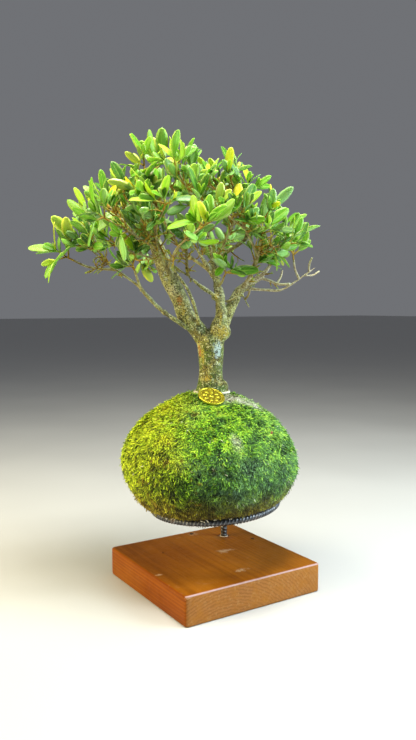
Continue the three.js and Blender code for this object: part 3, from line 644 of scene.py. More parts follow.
def wood_finish():
    """Varnished wood: broad streaks and fine fibres along Y, painted shade darkening the margin of the top, arcs of
    rings on the end grain, a painted highlight along the front edge, scuffs, smears and dust."""
    f = Finish("varnished_wood")
    pith = f.where((1, 0.05, 1), (0.035, 0, 0.06))
    rings = {"Vector": pith, "Scale": 105.0, "Distortion": 4.0, "Detail": 3.0, "Detail Scale": 2.0}
    ring = f.put("TexWave", rings, wave_type="RINGS", rings_direction="Y").outputs["Fac"]
    fibre = f.noise(700, 4, (1, 0.02, 1))
    streak = f.noise(75, 3, (1, 0.05, 1))
    pores = f.span(f.noise(1500, 2, (1, 0.025, 1)), 0.6, 0.72)
    cloud = f.noise(14, 3)
    grain = f.plus(f.times(streak, 0.5), f.times(fibre, 0.35))
    grain = f.plus(grain, f.times(ring, 0.15))
    top = f.ramp(grain, (0.3, (0.17, 0.05, 0.002)), (0.5, (0.25, 0.075, 0.003)), (0.7, (0.31, 0.1, 0.005)))
    side = f.ramp(grain, (0.3, (0.12, 0.024, 0.0005)), (0.5, (0.19, 0.042, 0.001)), (0.7, (0.26, 0.07, 0.002)))
    facing = f.facing()
    # Painted shade: the top darkens away from the point under the ball, spreading the ball's shadow over its margin.
    x, y = turned(np.array([(-12, 10, 0)]))[0, :2]
    painted_shade_reach = f.length(f.where((1, 1, 0), (-x, -y, 0)))
    top = f.tint(top, (0.05, 0.014, 0.0005), painted_shade_reach, 0.055, 0.085, 0.42)
    colour = f.tint(top, side, f.maths("ABSOLUTE", facing[0]), 0.4, 0.9)
    end = f.span(f.maths("ABSOLUTE", facing[1]), 0.5, 0.9)
    speckle, mottle = f.noise(380, 4), f.noise(90, 4)
    pale = f.ramp(ring, (0.15, (0.25, 0.1, 0.024)), (0.5, (0.31, 0.125, 0.034)))
    pale = f.tint(pale, (0.33, 0.125, 0.018), mottle, 0.45, 0.65, 0.6)
    pale = f.tint(pale, (0.2, 0.075, 0.02), speckle, 0.55, 0.7, 0.25)
    pale = f.tint(pale, (0.42, 0.25, 0.11), speckle, 0.45, 0.32, 0.3)
    colour = f.mix(end, colour, pale)
    colour = f.tint(colour, f.mix(0.5, colour, (0.5, 0.2, 0.02)), cloud, 0.42, 0.68, 0.4)
    colour = f.mix(f.times(pores, 0.4), colour, (0.06, 0.02, 0.003))
    dust, scuff = f.noise(60, 6, roughness=0.75, distortion=1.0), f.noise(210, 2, (0.12, 1, 1), 0.5, 2.0)
    colour = f.tint(colour, (0.55, 0.5, 0.45), dust, 0.6, 0.72, 0.07)
    colour = f.tint(colour, (0.6, 0.45, 0.3), scuff, 0.74, 0.76, 0.3)
    for x, y, long, wide, paint in WOOD_MARKS:
        away = f.length(f.where((1 / long, 1 / wide, 60), (-x / long, -y / wide, -BLOCK_HEIGHT * MM * 60)))
        away = f.plus(away, f.span(f.noise(300, 4), 0.3, 0.7, -0.6, 0.6))
        colour = f.tint(colour, paint, away, 1.1, 0.3, 0.6)
    # Painted highlight: the front top edge is drawn pale where the bevel catches the light.
    painted_edge_highlight = f.times(f.span(facing[2], 0.15, 0.4), f.span(facing[1], -0.12, -0.35))
    colour = f.mix(f.times(painted_edge_highlight, f.span(mottle, 0.3, 0.6, 0.5, 0.85)), colour, (0.4, 0.28, 0.29))
    height = f.plus(f.times(fibre, 0.4), f.times(pores, -0.6))
    rough_part = f.span(f.noise(95, 5, roughness=0.7, distortion=1.5), 0.4, 0.75, 0.36, 0.55)
    varnish = {"Coat_Weight": 0.04, "Coat_Roughness": 0.3, "Specular_IOR_Level": 0.05}
    return f.done(colour, rough_part, f.bump(height, 0.0002, 0.3), **varnish)


def steel_finish():
    """Dark hot-rolled bar: blue-grey scale, paler on the ribs, partly where it is rubbed and partly as painted
    highlight, and a breath of rust.
    """
    f = Finish("ribbed_steel")
    # Paler rib tips in patches along the bar: partly rubbed steel, partly painted highlight.
    rub_and_highlight = f.times(f.span(f.mark("rib"), 0.35, 0.95), f.span(f.noise(85, 3), 0.36, 0.6, 0.25, 1))
    scale = f.noise(260, 5)
    base = f.ramp(scale, (0.3, (0.03, 0.032, 0.038)), (0.7, (0.1, 0.105, 0.115)))
    rubbed_and_highlit = f.ramp(scale, (0.35, (0.11, 0.115, 0.13)), (0.62, (0.4, 0.39, 0.39)))
    colour = f.mix(f.times(rub_and_highlight, 0.85), base, rubbed_and_highlit)
    colour = f.tint(colour, (0.13, 0.075, 0.035), f.noise(75, 4), 0.56, 0.7, 0.5)
    roughness = f.span(f.noise(320, 3), 0.3, 0.7, 0.26, 0.5)
    return f.done(colour, roughness, f.bump(f.noise(1400, 4), 0.00012, 0.5), Metallic=0.8)


def moss_finish():
    """Moss: darker towards the sprigs' roots and the ground between them as painted shade, fresh at their tips,
    yellower, bluer, browner or dry where it is marked.
    """
    f = Finish("moss")
    grain = f.noise(700, 3)
    tone = f.plus(f.mark("tone"), f.span(grain, 0.3, 0.7, -0.12, 0.12))
    stops = [(0.0, (0.008, 0.03, 0.01)), (0.25, (0.03, 0.1, 0.012)), (0.55, (0.11, 0.3, 0.014))]
    colour = f.ramp(tone, *stops, (0.8, (0.28, 0.62, 0.022)), (1.0, (0.6, 0.88, 0.05)))
    stops = [(0.0, (0.03, 0.035, 0.004)), (0.25, (0.16, 0.17, 0.006)), (0.55, (0.44, 0.48, 0.01))]
    yellow_and_warm_light = f.ramp(tone, *stops, (0.8, (0.74, 0.8, 0.02)), (1.0, (1.0, 0.95, 0.04)))
    # Yellow on the left flank: partly the moss's own colour, partly painted warm light.
    colour = f.mix(f.times(f.mark("yellow_and_warm_light"), 0.75), colour, yellow_and_warm_light)
    # Bluer where marked: painted shade in two hollows, painted cool light on the right and some cool patches of the
    # moss's own.
    colour = f.mix(f.mark("cool_tint_painted_light_and_shade"), colour, f.mix(0.5, colour, (0.19, 0.35, 0.19)))
    brown = f.ramp(tone, (0.0, (0.05, 0.03, 0.004)), (0.5, (0.27, 0.15, 0.014)), (1.0, (0.5, 0.36, 0.05)))
    colour = f.mix(f.mark("brown"), colour, brown)
    straw = f.ramp(grain, (0.3, (0.5, 0.46, 0.33)), (0.7, (0.85, 0.82, 0.7)))
    colour = f.mix(f.mark("dry"), colour, straw)
    # Painted shade: darker towards the sprigs' roots and on the ground between them; dry moss keeps its light.
    painted_shade = f.span(f.mark("tip"), 0.05, 0.8, 0.08, 1.0)
    painted_shade = f.maths("MAXIMUM", painted_shade, f.times(f.mark("dry"), 0.95))
    colour = f.mix(1.0, colour, f.put("CombineXYZ", {0: painted_shade, 1: painted_shade, 2: painted_shade}).outputs[0], "MULTIPLY")
    bump = f.bump(f.noise(1500, 4), 0.0006, 0.8)
    soft = {"Sheen_Weight": 0.06, "Sheen_Roughness": 0.5, "Specular_IOR_Level": 0.2}
    return f.done(colour, f.span(grain, 0.3, 0.7, 0.6, 0.9), bump, **soft)


# FORK_DARK is a near-black patch at the front of the fork.
LICHEN, OCHRE, RUST, FORK_DARK = (0.55, 0.68, 0.66), (0.5, 0.38, 0.04), (0.4, 0.17, 0.03), (0.012, 0.02, 0.006)
PALE, MOSSY = (0.62, 0.58, 0.34), (0.045, 0.08, 0.01)
# Patches of bark: where in the plant's frame, how wide and tall, and their colour
BARK_MARKS = [
    ((8, -8, 262), (1.6, 9), OCHRE), ((3.5, -6, 288), (2.2, 13), OCHRE),
    ((6, -11.5, 233.5), (5, 7), LICHEN), ((8, -10, 219), (2.2, 3), LICHEN),
    ((-4, -11, 205), (3, 4), OCHRE), ((-9, -9, 228), (2.4, 7), OCHRE),
    ((-2, -9, 246), (4, 3), FORK_DARK), ((-7, -6, 254), (8, 6), MOSSY),
    ((-3, -12.5, 198), (10, 4.5), MOSSY), ((10, -10, 249), (6, 7), OCHRE),
    ((-38, -13, 289), (4.6, 6.5), PALE), ((-42, -10, 304), (4, 9), LICHEN),
    ((-13, -6, 233), (2.6, 9), RUST), ((-31, -12, 281), (3, 5), RUST),
    ((-27, -11, 272), (3, 6), OCHRE), ((-12, 9, 222), (3, 5), LICHEN),
    ((3, 11, 232), (3, 6), LICHEN),
]


def bark_finish():
    """Bark: grey-olive and finely speckled, mossy at the foot, patched with lichen and ochre, paler on the limbs
    and painted paler where it faces up as top light, olive-brown on thin wood and bleached on the bare twigs at the
    right."""
    f = Finish("bark")
    height = f.put("SeparateXYZ", {0: f.where()}).outputs[2]
    mottle, fleck, fine = f.noise(150, 6, roughness=0.7), f.noise(430, 4, roughness=0.65), f.noise(820, 3)
    colour = f.ramp(mottle, (0.36, (0.04, 0.03, 0.006)), (0.49, (0.17, 0.145, 0.03)), (0.62, (0.4, 0.38, 0.11)))
    green = f.span(f.noise(95, 4, (1, 1, 0.7)), 0.42, 0.6)
    foot = f.span(height, 0.185, 0.3, 1.0, 0.3)
    colour = f.mix(f.times(green, foot), colour, (0.08, 0.15, 0.016))
    colour = f.tint(colour, (0.52, 0.5, 0.22), height, 0.235, 0.275, 0.22)
    for place, (wide, tall), paint in BARK_MARKS:
        stretch = np.array([1 / wide, 1 / wide, 1 / tall]) / MM
        away = f.length(f.where(stretch, -turned(np.array([place]))[0] * stretch))
        away = f.plus(away, f.span(mottle, 0.3, 0.7, -0.7, 0.7))
        colour = f.tint(colour, paint, away, 1.2, 0.6, 0.7)
    colour = f.tint(colour, (0.62, 0.64, 0.36), fleck, 0.54, 0.62, 0.85)
    colour = f.tint(colour, (0.014, 0.014, 0.004), fine, 0.5, 0.6, 0.9)
    rust = f.ramp(mottle, (0.35, (0.13, 0.09, 0.022)), (0.5, (0.27, 0.22, 0.07)), (0.62, (0.36, 0.38, 0.18)))
    colour = f.mix(f.mark("thin"), colour, rust)
    stretch = np.array([22, 22, 50])
    away = f.length(f.where(stretch, -turned(np.array([(74, 0, 298)]))[0] * stretch))
    bleached = f.tint((0.3, 0.2, 0.13), (0.7, 0.64, 0.5), fleck, 0.4, 0.6)
    colour = f.tint(colour, bleached, away, 1.15, 0.75, 0.5)
    # Painted top light: the limbs' upper faces are drawn paler where light falls from above.
    painted_top_light = f.times(f.span(f.facing()[2], 0.1, 0.7, 0, 0.6), f.span(height, 0.256, 0.28))
    colour = f.mix(f.times(painted_top_light, f.span(mottle, 0.35, 0.55)), colour, (0.44, 0.52, 0.34))
    relief = f.plus(f.times(fleck, 0.6), f.times(fine, 0.4))
    bump = f.bump(relief, 0.0014, 0.9)
    return f.done(colour, f.span(mottle, 0.3, 0.7, 0.6, 0.85), bump, Specular_IOR_Level=0.3)


def leaf_finish():
    """Leaf: its own green from deep to yellow, pale midrib and side veins, lighter rim, greyer underside, and a pale
    blue-green painted reflection on the glossiest.
    """
    f = Finish("leaf")
    along, across, tone = f.mark("along"), f.maths("ABSOLUTE", f.mark("across")), f.mark("tone")
    stops = [(0.0, (0.01, 0.055, 0.006)), (0.3, (0.035, 0.16, 0.01)), (0.58, (0.12, 0.36, 0.012))]
    colour = f.ramp(tone, *stops, (0.82, (0.36, 0.55, 0.016)), (1.0, (0.66, 0.63, 0.025)))
    blotch = f.noise(240, 3)
    colour = f.tint(colour, (0.24, 0.42, 0.02), blotch, 0.4, 0.75, 0.25)
    vein = f.maths("SINE", f.times(f.maths("SUBTRACT", along, f.times(across, 0.22)), 44.0))
    vein = f.span(vein, 0.75, 1.0, 0, 0.12)
    colour = f.mix(vein, colour, (0.5, 0.66, 0.16))
    colour = f.tint(colour, (0.5, 0.6, 0.04), across, 0.86, 1.0, 0.4)
    colour = f.tint(colour, (0.42, 0.6, 0.1), across, 0.1, 0.02, 0.45)
    colour = f.mix(f.times(f.mark("under"), 0.5), colour, (0.22, 0.36, 0.1))
    gloss = f.mark("gloss")
    # Painted reflection: the glossiest leaves are drawn towards a pale blue-green.
    colour = f.tint(colour, (0.36, 0.64, 0.26), gloss, 0.72, 1.0, 0.5)
    roughness = f.span(gloss, 0.0, 1.0, 0.5, 0.24)
    bump = f.bump(f.plus(f.times(vein, -2.0), blotch), 0.0003, 0.4)
    glow = {"Subsurface_Weight": 0.25, "Subsurface_Radius": (0.0015, 0.0022, 0.0006), "Subsurface_Scale": 1.0}
    return f.done(colour, roughness, bump, Specular_IOR_Level=0.24, **glow)


def twig_finish():
    """Young shoots: orange-brown at their roots, green where the leaves sit."""
    f = Finish("young_twig")
    fine = f.noise(800, 3)
    brown = f.ramp(fine, (0.3, (0.13, 0.075, 0.008)), (0.7, (0.42, 0.27, 0.03)))
    green = f.ramp(fine, (0.3, (0.16, 0.26, 0.03)), (0.7, (0.36, 0.46, 0.07)))
    colour = f.tint(brown, green, f.mark("along"), 0.35, 1.0)
    return f.done(colour, f.span(fine, 0.3, 0.7, 0.45, 0.7), f.bump(fine, 0.0004, 0.6), Specular_IOR_Level=0.15)


def gold_finish():
    """Worn gold: bright on what stands up, browned and dull in the recess."""
    f = Finish("gold_disc")
    worn = f.noise(520, 4)
    raised = f.span(f.mark("raised"), 0.15, 0.8)
    low = f.ramp(worn, (0.3, (0.14, 0.1, 0.006)), (0.7, (0.42, 0.34, 0.015)))
    colour = f.mix(raised, low, (0.82, 0.73, 0.06))
    roughness = f.span(f.plus(worn, f.times(raised, -0.4)), 0.0, 0.7, 0.24, 0.5)
    return f.done(colour, roughness, f.bump(worn, 0.0002, 0.5), Metallic=0.85)


def flake_finish(name, dark, light, scale=900):
    """Dry plant scraps: a fibrous blend of two colours."""
    f = Finish(name)
    fibre = f.noise(scale, 4, (1, 1, 0.4))
    return f.done(f.ramp(fibre, (0.3, dark), (0.7, light)), f.span(fibre, 0.3, 0.7, 0.6, 0.85), f.bump(fibre, 0.0003))


def soil_finish():
    """Dark damp soil with paler grit."""
    f = Finish("soil")
    grit = f.noise(420, 5)
    colour = f.ramp(grit, (0.35, (0.03, 0.018, 0.01)), (0.62, (0.1, 0.065, 0.035)), (0.75, (0.26, 0.2, 0.13)))
    return f.done(colour, f.span(grit, 0.3, 0.7, 0.8, 0.95), f.bump(grit, 0.0012))


def floor_finish():
    """Plain pale floor with the faintest unevenness."""
    f = Finish("floor")
    cloud = f.noise(3, 2)
    colour = f.ramp(cloud, (0.3, (0.43, 0.43, 0.42)), (0.7, (0.46, 0.46, 0.45)))
    return f.done(colour, f.span(cloud, 0.3, 0.7, 0.5, 0.6))


# ---- Wood of the tree ----


def fused(made, voxel, passes):
    """The outer skin of overlapping closed shapes: remeshed on small cells, then smoothed at the joints."""
    thing = placed("raw", mesh_of("raw", made, made["points"] * MM))
    remesh = thing.modifiers.new("cells", "REMESH")
    remesh.mode, remesh.voxel_size = "VOXEL", voxel * MM
    smooth = thing.modifiers.new("even", "SMOOTH")
    smooth.factor, smooth.iterations = 0.5, passes
    evaluated = thing.evaluated_get(bpy.context.evaluated_depsgraph_get())
    mesh = evaluated.to_mesh()
    points, normals = (np.empty(3 * len(mesh.vertices), np.float32) for _ in range(2))
    mesh.vertices.foreach_get("co", points)
    mesh.vertices.foreach_get("normal", normals)
    corners = np.empty(len(mesh.loops), np.int32)
    mesh.loops.foreach_get("vertex_index", corners)
    sides, starts = (np.empty(len(mesh.polygons), np.int32) for _ in range(2))
    mesh.polygons.foreach_get("loop_total", sides)
    mesh.polygons.foreach_get("loop_start", starts)
    faces = [corners[starts[sides == n][:, None] + np.arange(n)] for n in np.unique(sides)]
    evaluated.to_mesh_clear()
    bpy.data.objects.remove(thing)
    return points.reshape(-1, 3).astype(float) / MM, normals.reshape(-1, 3).astype(float), faces


def knobs(places):
    """Small uneven swellings of thin wood, as a share of its radius."""
    return 0.16 * rough(places, 5.5, 11) + 0.08 * rough(places, 2.2, 12)


def ball(centre, reach, rows=24, columns=32):
    """A sphere stretched by reach: rows from pole to pole, closed by small polygons."""
    up = np.linspace(-np.pi / 2 + 0.05, np.pi / 2 - 0.05, rows)[:, None]
    turn = circle(columns)[None]
    sphere = np.stack([np.cos(up) * np.cos(turn), np.cos(up) * np.sin(turn), np.sin(up) + 0 * turn], -1)
    faces = [grid_faces(rows, columns, wrap=True), end_caps(rows, columns)]
    return shape(np.array(centre) + sphere * reach, faces, along=0.0)


def stout_wood():
    """Trunk and limbs: smooth bars, the thin ones drawn in a little, fused into one skin, which is lifted by
    lumps, ridges and fine pits of bark."""
    bars = []
    for line in lines:
        if line["stout"]:
            run = stations(line["controls"], 6)
            run[:, 3] *= 1 - 0.27 * step(run[:, 3], 4.6, 2.6)
            bars.append(round_bar(run, 28))
    points, normals, faces = fused(gathered(bars + [ball(*s) for s in SWELLINGS + KNUCKLES]), 0.85, 8)
    lift = 0.55 * rough(points, 13, 3) + 0.4 * rough(points * (1, 1, 0.45), 4.2, 4, 2)
    lift += 0.22 * rough(points, 1.8, 6) - 0.5 * np.maximum(0, rough(points, 5, 8) - 0.35)
    slim = np.clip((np.linalg.norm(points[:, :2] - (-2, 0), axis=1) - 40) / 60, 0, 0.55)
    return shape(points + normals * (lift * (1 - slim))[:, None], faces, thin=slim)


def thin_wood():
    """The thinner branches: smooth bars with small knobs, flared where they leave the wood that bears them."""
    bars = []
    for branch in lines + grown:
        if branch["stout"]:
            continue
        run = stations(branch["controls"], 8 if len(branch["controls"]) < 4 else 6)
        start = np.linspace(0, 1, len(run))
        run[:, 3] *= 0.9 + 0.3 * np.exp(-start * 14)
        bar = round_bar(run, 10, swell=knobs)
        bar["marks"] = {"thin": np.repeat(np.clip(1.15 - 0.3 * run[:, 3], 0.15, 0.85), 10)}
        bars.append(bar)
    stubs = np.array(STUBS, float)
    for some, thick in ((stubs[:3], 1.3), (stubs[3:], 0.45)):
        bar = shoot_bars(some[:, 0], some[:, 1], thick, 0.7 * thick)
        bars.append({**bar, "marks": {"thin": np.full(len(bar["points"]), 0.5)}})
    return gathered(bars)


# ---- Shoots and leaves ----

decor = np.random.default_rng(20)


def random_units(count):
    """Directions spread evenly over a sphere."""
    return unit(decor.normal(size=(count, 3)))


def rosette(tips, along, count, shortest, longest, spread):
    """Leaves round each tip, in the same twelve numbers as leaf_try: turned evenly, opened by spread."""
    tips, along = np.repeat(tips, count, 0), np.repeat(along, count, 0)
    side = unit(np.cross(along, random_units(len(along))))
    over = np.cross(along, side)
    place = np.tile(np.arange(count), len(tips) // count)
    turn = place * GOLDEN_ANGLE + decor.uniform(0, 0.8, len(tips))
    opened = decor.uniform(*spread, len(tips))[:, None]
    ring = np.cos(turn)[:, None] * side + np.sin(turn)[:, None] * over
    ahead = unit(np.cos(opened) * along + np.sin(opened) * ring + (0, 0, 0.2))
    upper = unit(along - (along * ahead).sum(1, keepdims=True) * ahead)
    length = decor.uniform(shortest, longest, len(tips))
    width = length * decor.uniform(0.4, 0.52, len(tips))
    arch = decor.uniform(0.02, 0.2, len(tips))
    root = tips - along * (0.2 + 1.5 * place / count)[:, None]
    return np.column_stack([root, ahead, upper, length, width, arch])


def side_shoots(per_branch, shortest, longest):
    """Short shoots along the crown's branches, leaning out of the crown: their starts and their ends."""
    starts = []
    for branch in lines + grown:
        run = stations(branch["controls"], 12)
        share = decor.uniform(0.5 if branch["stout"] else 0.15, 0.98, per_branch)
        starts.append(run[(share * (len(run) - 1)).astype(int), :3])
    starts = np.concatenate(starts)
    starts = starts[(starts[:, 2] > 290) & (np.abs(starts[:, 0] + 24) < 84)]
    normal = unit((starts - CROWN_CENTRE) / CROWN_REACH)
    ways = unit(normal * 0.7 + random_units(len(starts)) * 0.9 + (0, 0, 0.35))
    return starts, starts + ways * decor.uniform(shortest, longest, len(starts))[:, None]


def shell_share(points):
    """How far out in the crown's dome points lie: 0 at its middle, 1 at its skin."""
    return np.linalg.norm((points - CROWN_CENTRE) / CROWN_REACH, axis=1)


# Leaves seen on the near side: where the stalk end and the tip lie in the picture, width and tone
SEEN_LEAVES = [
    (62, 250, 34, 247, 11, 0.68), (80, 210, 69, 188, 8, 0.78), (101, 192, 98, 168, 9, 0.50),
    (112, 182, 102, 167, 8, 0.81), (97, 194, 84, 181, 9, 0.75), (143, 222, 138, 184, 14, 0.62),
    (152, 192, 140, 174, 11, 0.75), (170, 175, 158, 160, 9, 0.73), (173, 162, 161, 150, 9, 0.71),
    (176, 152, 180, 132, 8, 0.53), (135, 257, 118, 235, 9, 0.76), (133, 240, 138, 267, 7, 0.71),
    (132, 226, 110, 214, 8, 0.75), (227, 220, 217, 204, 10, 0.50), (229, 220, 241, 204, 10, 0.58),
    (197, 256, 183, 246, 9, 0.53), (227, 272, 208, 257, 9, 0.35), (214, 274, 206, 283, 8, 0.53),
    (260, 264, 259, 248, 10, 0.64), (292, 262, 304, 246, 8, 0.60), (262, 192, 277, 180, 7, 0.57),
    (301, 229, 308, 211, 7, 0.55), (202, 210, 205, 185, 11, 0.60), (190, 172, 193, 150, 9, 0.53),
    (116, 252, 109, 236, 7, 0.64), (64, 246, 62, 226, 6, 0.46), (67, 250, 85, 242, 8, 0.46),
]


def seen_leaves(carriers):
    """Leaves of the near side, in the same twelve numbers: each grows from the shoot's end that lies nearest
    its stalk in the picture, near ones first, and points the same way there, its face to the viewer."""
    pitch = math.radians(CAMERA_PITCH)
    right, up = np.array([1.0, 0, 0]), np.array([0, math.sin(pitch), math.cos(pitch)])
    ahead = np.array([0, math.cos(pitch), -math.sin(pitch)])
    away = carriers - CAMERA_PLACE
    scale = FOCAL / (away @ ahead)
    middle_u, middle_v = PICTURE_MIDDLE
    flat = np.column_stack([middle_u + scale * (away @ right), middle_v - scale * (away @ up)])
    found = []
    for u, v, tip_u, tip_v, wide, tone in SEEN_LEAVES:
        best = (np.hypot(*(flat - (u, v)).T) + 0.09 * carriers[:, 1]).argmin()
        way = (right * (tip_u - u) + up * (v - tip_v)) / scale[best] - 3 * ahead
        length = np.linalg.norm(way)
        way = way / length
        face = -0.8 * ahead + 0.5 * up + 0.3 * right
        upper = unit(face - face.dot(way) * way)
        found.append([*carriers[best], *way, *upper, length, 0.9 * wide / scale[best], 0.07, best, tone])
    return np.array(found)


def blades(leaves, tone, gloss):
    """Leaf blades. Half width: width/1.85 * sin(pi * s^1.18)^0.5 at share s of the length; the middle line sinks by
    arch * length * s^2; the sides fold up and ripple; the underside lies a little below the upper side."""
    share = np.array([0.04, 0.17, 0.36, 0.58, 0.8, 0.94])
    side_place = np.array([1, 0.5, 0, -0.5, -1, -0.5, 0, 0.5])
    below = np.array([0, 0, 0, 0, 0, 1, 1, 1])
    root, ahead, upper = (leaves[:, None, None, k : k + 3] for k in (0, 3, 6))
    length, width, arch = (leaves[:, None, None, k] for k in (9, 10, 11))
    side = np.cross(upper, ahead)
    s, c = share[None, :, None], side_place[None, None, :]
    half = width / 1.85 * np.sin(np.pi * s**1.18) ** 0.5
    ripple = 0.07 * half * np.sin(8 * s + 5 * length) * np.abs(c)
    rise = 0.2 * half * np.abs(c) ** 1.3 + ripple - 0.3 * below * (1 - np.abs(c) ** 4) - arch * length * s**2
    rings = root + ahead * (length * s)[..., None] + side * (half * c)[..., None] + upper * rise[..., None]
    tip = root + ahead * length[..., None] - upper * (arch * length)[..., None]
    count, each = len(leaves), len(share) * len(side_place)
    points = np.concatenate([rings.reshape(count, each, 3), root.reshape(-1, 1, 3), tip.reshape(-1, 1, 3)], 1)
    j = np.arange(8)
    first = np.column_stack([np.full(8, each), (j + 1) % 8, j])
    last = np.column_stack([each - 8 + j, each - 8 + (j + 1) % 8, np.full(8, each + 1)])
    marks = {
        "along": np.append(np.repeat(share, 8), [0, 1]),
        "across": np.append(np.tile(side_place, 6), [0, 0]),
        "under": np.append(np.tile(below, 6), [0, 0]),
        "tone": tone[:, None],
        "gloss": gloss[:, None],
    }
    return copies(points, [grid_faces(6, 8, wrap=True), first, last], **marks)


def shoot_bars(starts, ends, thick, thin):
    """Slim bars from starts to ends: rings at four shares of the way, slightly bent and knobbed."""
    share = np.array([0, 0.33, 0.7, 1.0])
    ahead = unit(ends - starts)
    bend = random_units(len(starts)) * np.linalg.norm(ends - starts, axis=1)[:, None] * 0.11
    across = unit(np.cross(ahead, (0.31, 0.22, 0.93)))
    out = spokes(across, np.cross(ahead, across), 6)
    radius = (thick + (thin - thick) * share) * np.array([1, 1.12, 0.94, 1])
    middle = starts[:, None] + (ends - starts)[:, None] * share[None, :, None]
    middle = middle + bend[:, None] * np.array([0, 1, 0.7, 0])[None, :, None]
    points = middle[:, :, None] + radius[None, :, None, None] * out[:, None]
    faces = [grid_faces(4, 6, wrap=True), end_caps(4, 6)]
    return copies(points.reshape(len(starts), 24, 3), faces, along=np.repeat(share, 6)[None])


# ---- Moss ball ----

ARC = np.radians([205, 160, 115, 65])
BELLY = [(0, 67, 0), (28, 69.5, 0), (46, 74.5, 0)]
BELLY += [(RING_RADIUS + GROOVE * c, RING_Z + GROOVE * s, 0) for c, s in zip(np.cos(ARC), np.sin(ARC))]
FLANK = [(64.3, 85.2), (70.6, 91), (75.9, 98), (80.4, 106), (84.1, 117), (83.6, 130), (79.8, 142)]
FLANK += [(72.4, 154), (61.4, 166), (43.8, 178), (26, 187.1), (0, 192)]
MOSS_RUN = stations(BELLY + [(*row, 1) for row in FLANK], 10)
MOSS_SHARE = shares_along(MOSS_RUN[:, :2])
SPRIGS_IN_PIECE = 33500
# Dry moss: how dry, and from where to where and how far it reaches
DRY_PATCHES = [
    (1, ((14, -14, 188), (42, -5, 178.5), 14)),
    (0.5, ((13, -23, 186), (21, -19, 184), 12)),
    (0.55, ((18, -66, 158), (23, -70, 151), 5.5)),
]


def ring_rise(x, y):
    """How much higher the ring's plane lies at x and y than at its own middle."""
    return (x - RING_X) * RING_RISE[0] + y * RING_RISE[1]


def moss_place(share, turn):
    """The ball: radius and height follow its profile with share, with lumps and a shifting axis on the flank,
    a low bed under the disc that slopes down to the right with it, and below it leans with the ring."""
    out, z, flank = (np.interp(share, MOSS_SHARE, MOSS_RUN[:, k]) for k in range(3))
    lump = 0.9 * flank * np.sin(3 * turn + z / 17) * np.sin(2 * turn - z / 23)
    axis = BALL_FOOT_X + (BALL_X - BALL_FOOT_X) * step(z, 85, 130)
    x = (out + lump) * np.cos(turn) + flank * axis + (1 - flank) * RING_X * out / (RING_RADIUS + GROOVE)
    y = (out + lump) * np.sin(turn)
    from_disc = np.hypot(x - DISC_PLACE[0], y - DISC_PLACE[1]) / DISC_RADIUS
    bed = DISC_BED * np.exp(-(from_disc**2)) - (x - DISC_PLACE[0]) * DISC_BED_SLOPE * step(from_disc, 1.8, 1.1)
    z = z + bed * (z > DISC_PLACE[2] - 20)
    return np.stack([x, y, z + step(z, 122, 90) * ring_rise(x, y)], -1)


def moss_normal(share, turn):
    """Unit normals of the ball: the cross of its two steps, turned outwards."""
    here = moss_place(share, turn)
    normal = unit(np.cross(moss_place(share, turn + 1e-3) - here, moss_place(share + 1e-3, turn) - here))
    return normal * np.sign((normal * (here - (0, 0, 125))).sum(-1, keepdims=True))


def share_by_area(parts):
    """How far along its profile the ball's skin holds such parts, from 0 to 1, of its area."""
    share = np.linspace(0, 1, 400)
    area = np.cumsum(np.interp(share, MOSS_SHARE, MOSS_RUN[:, 0]))
    return np.interp(parts * area[-1], area, share)


def near_line(points, start, end, reach):
    """1 at a straight line from start to end, falling to 0 at reach from it."""
    start, way = np.array(start, float), np.subtract(end, start)
    share = np.clip((points - start) @ way / (way @ way), 0, 1)
    away = np.linalg.norm(points - start - share[..., None] * way, axis=-1)
    return np.clip(1.4 * (1 - away / reach), 0, 1)


def bar_distance(points):
    """How far points are from the centre line of the ring."""
    x, y, z = np.moveaxis(points, -1, 0)
    return np.hypot(np.hypot(x - RING_X, y) - RING_RADIUS, z - RING_Z - ring_rise(x, y))


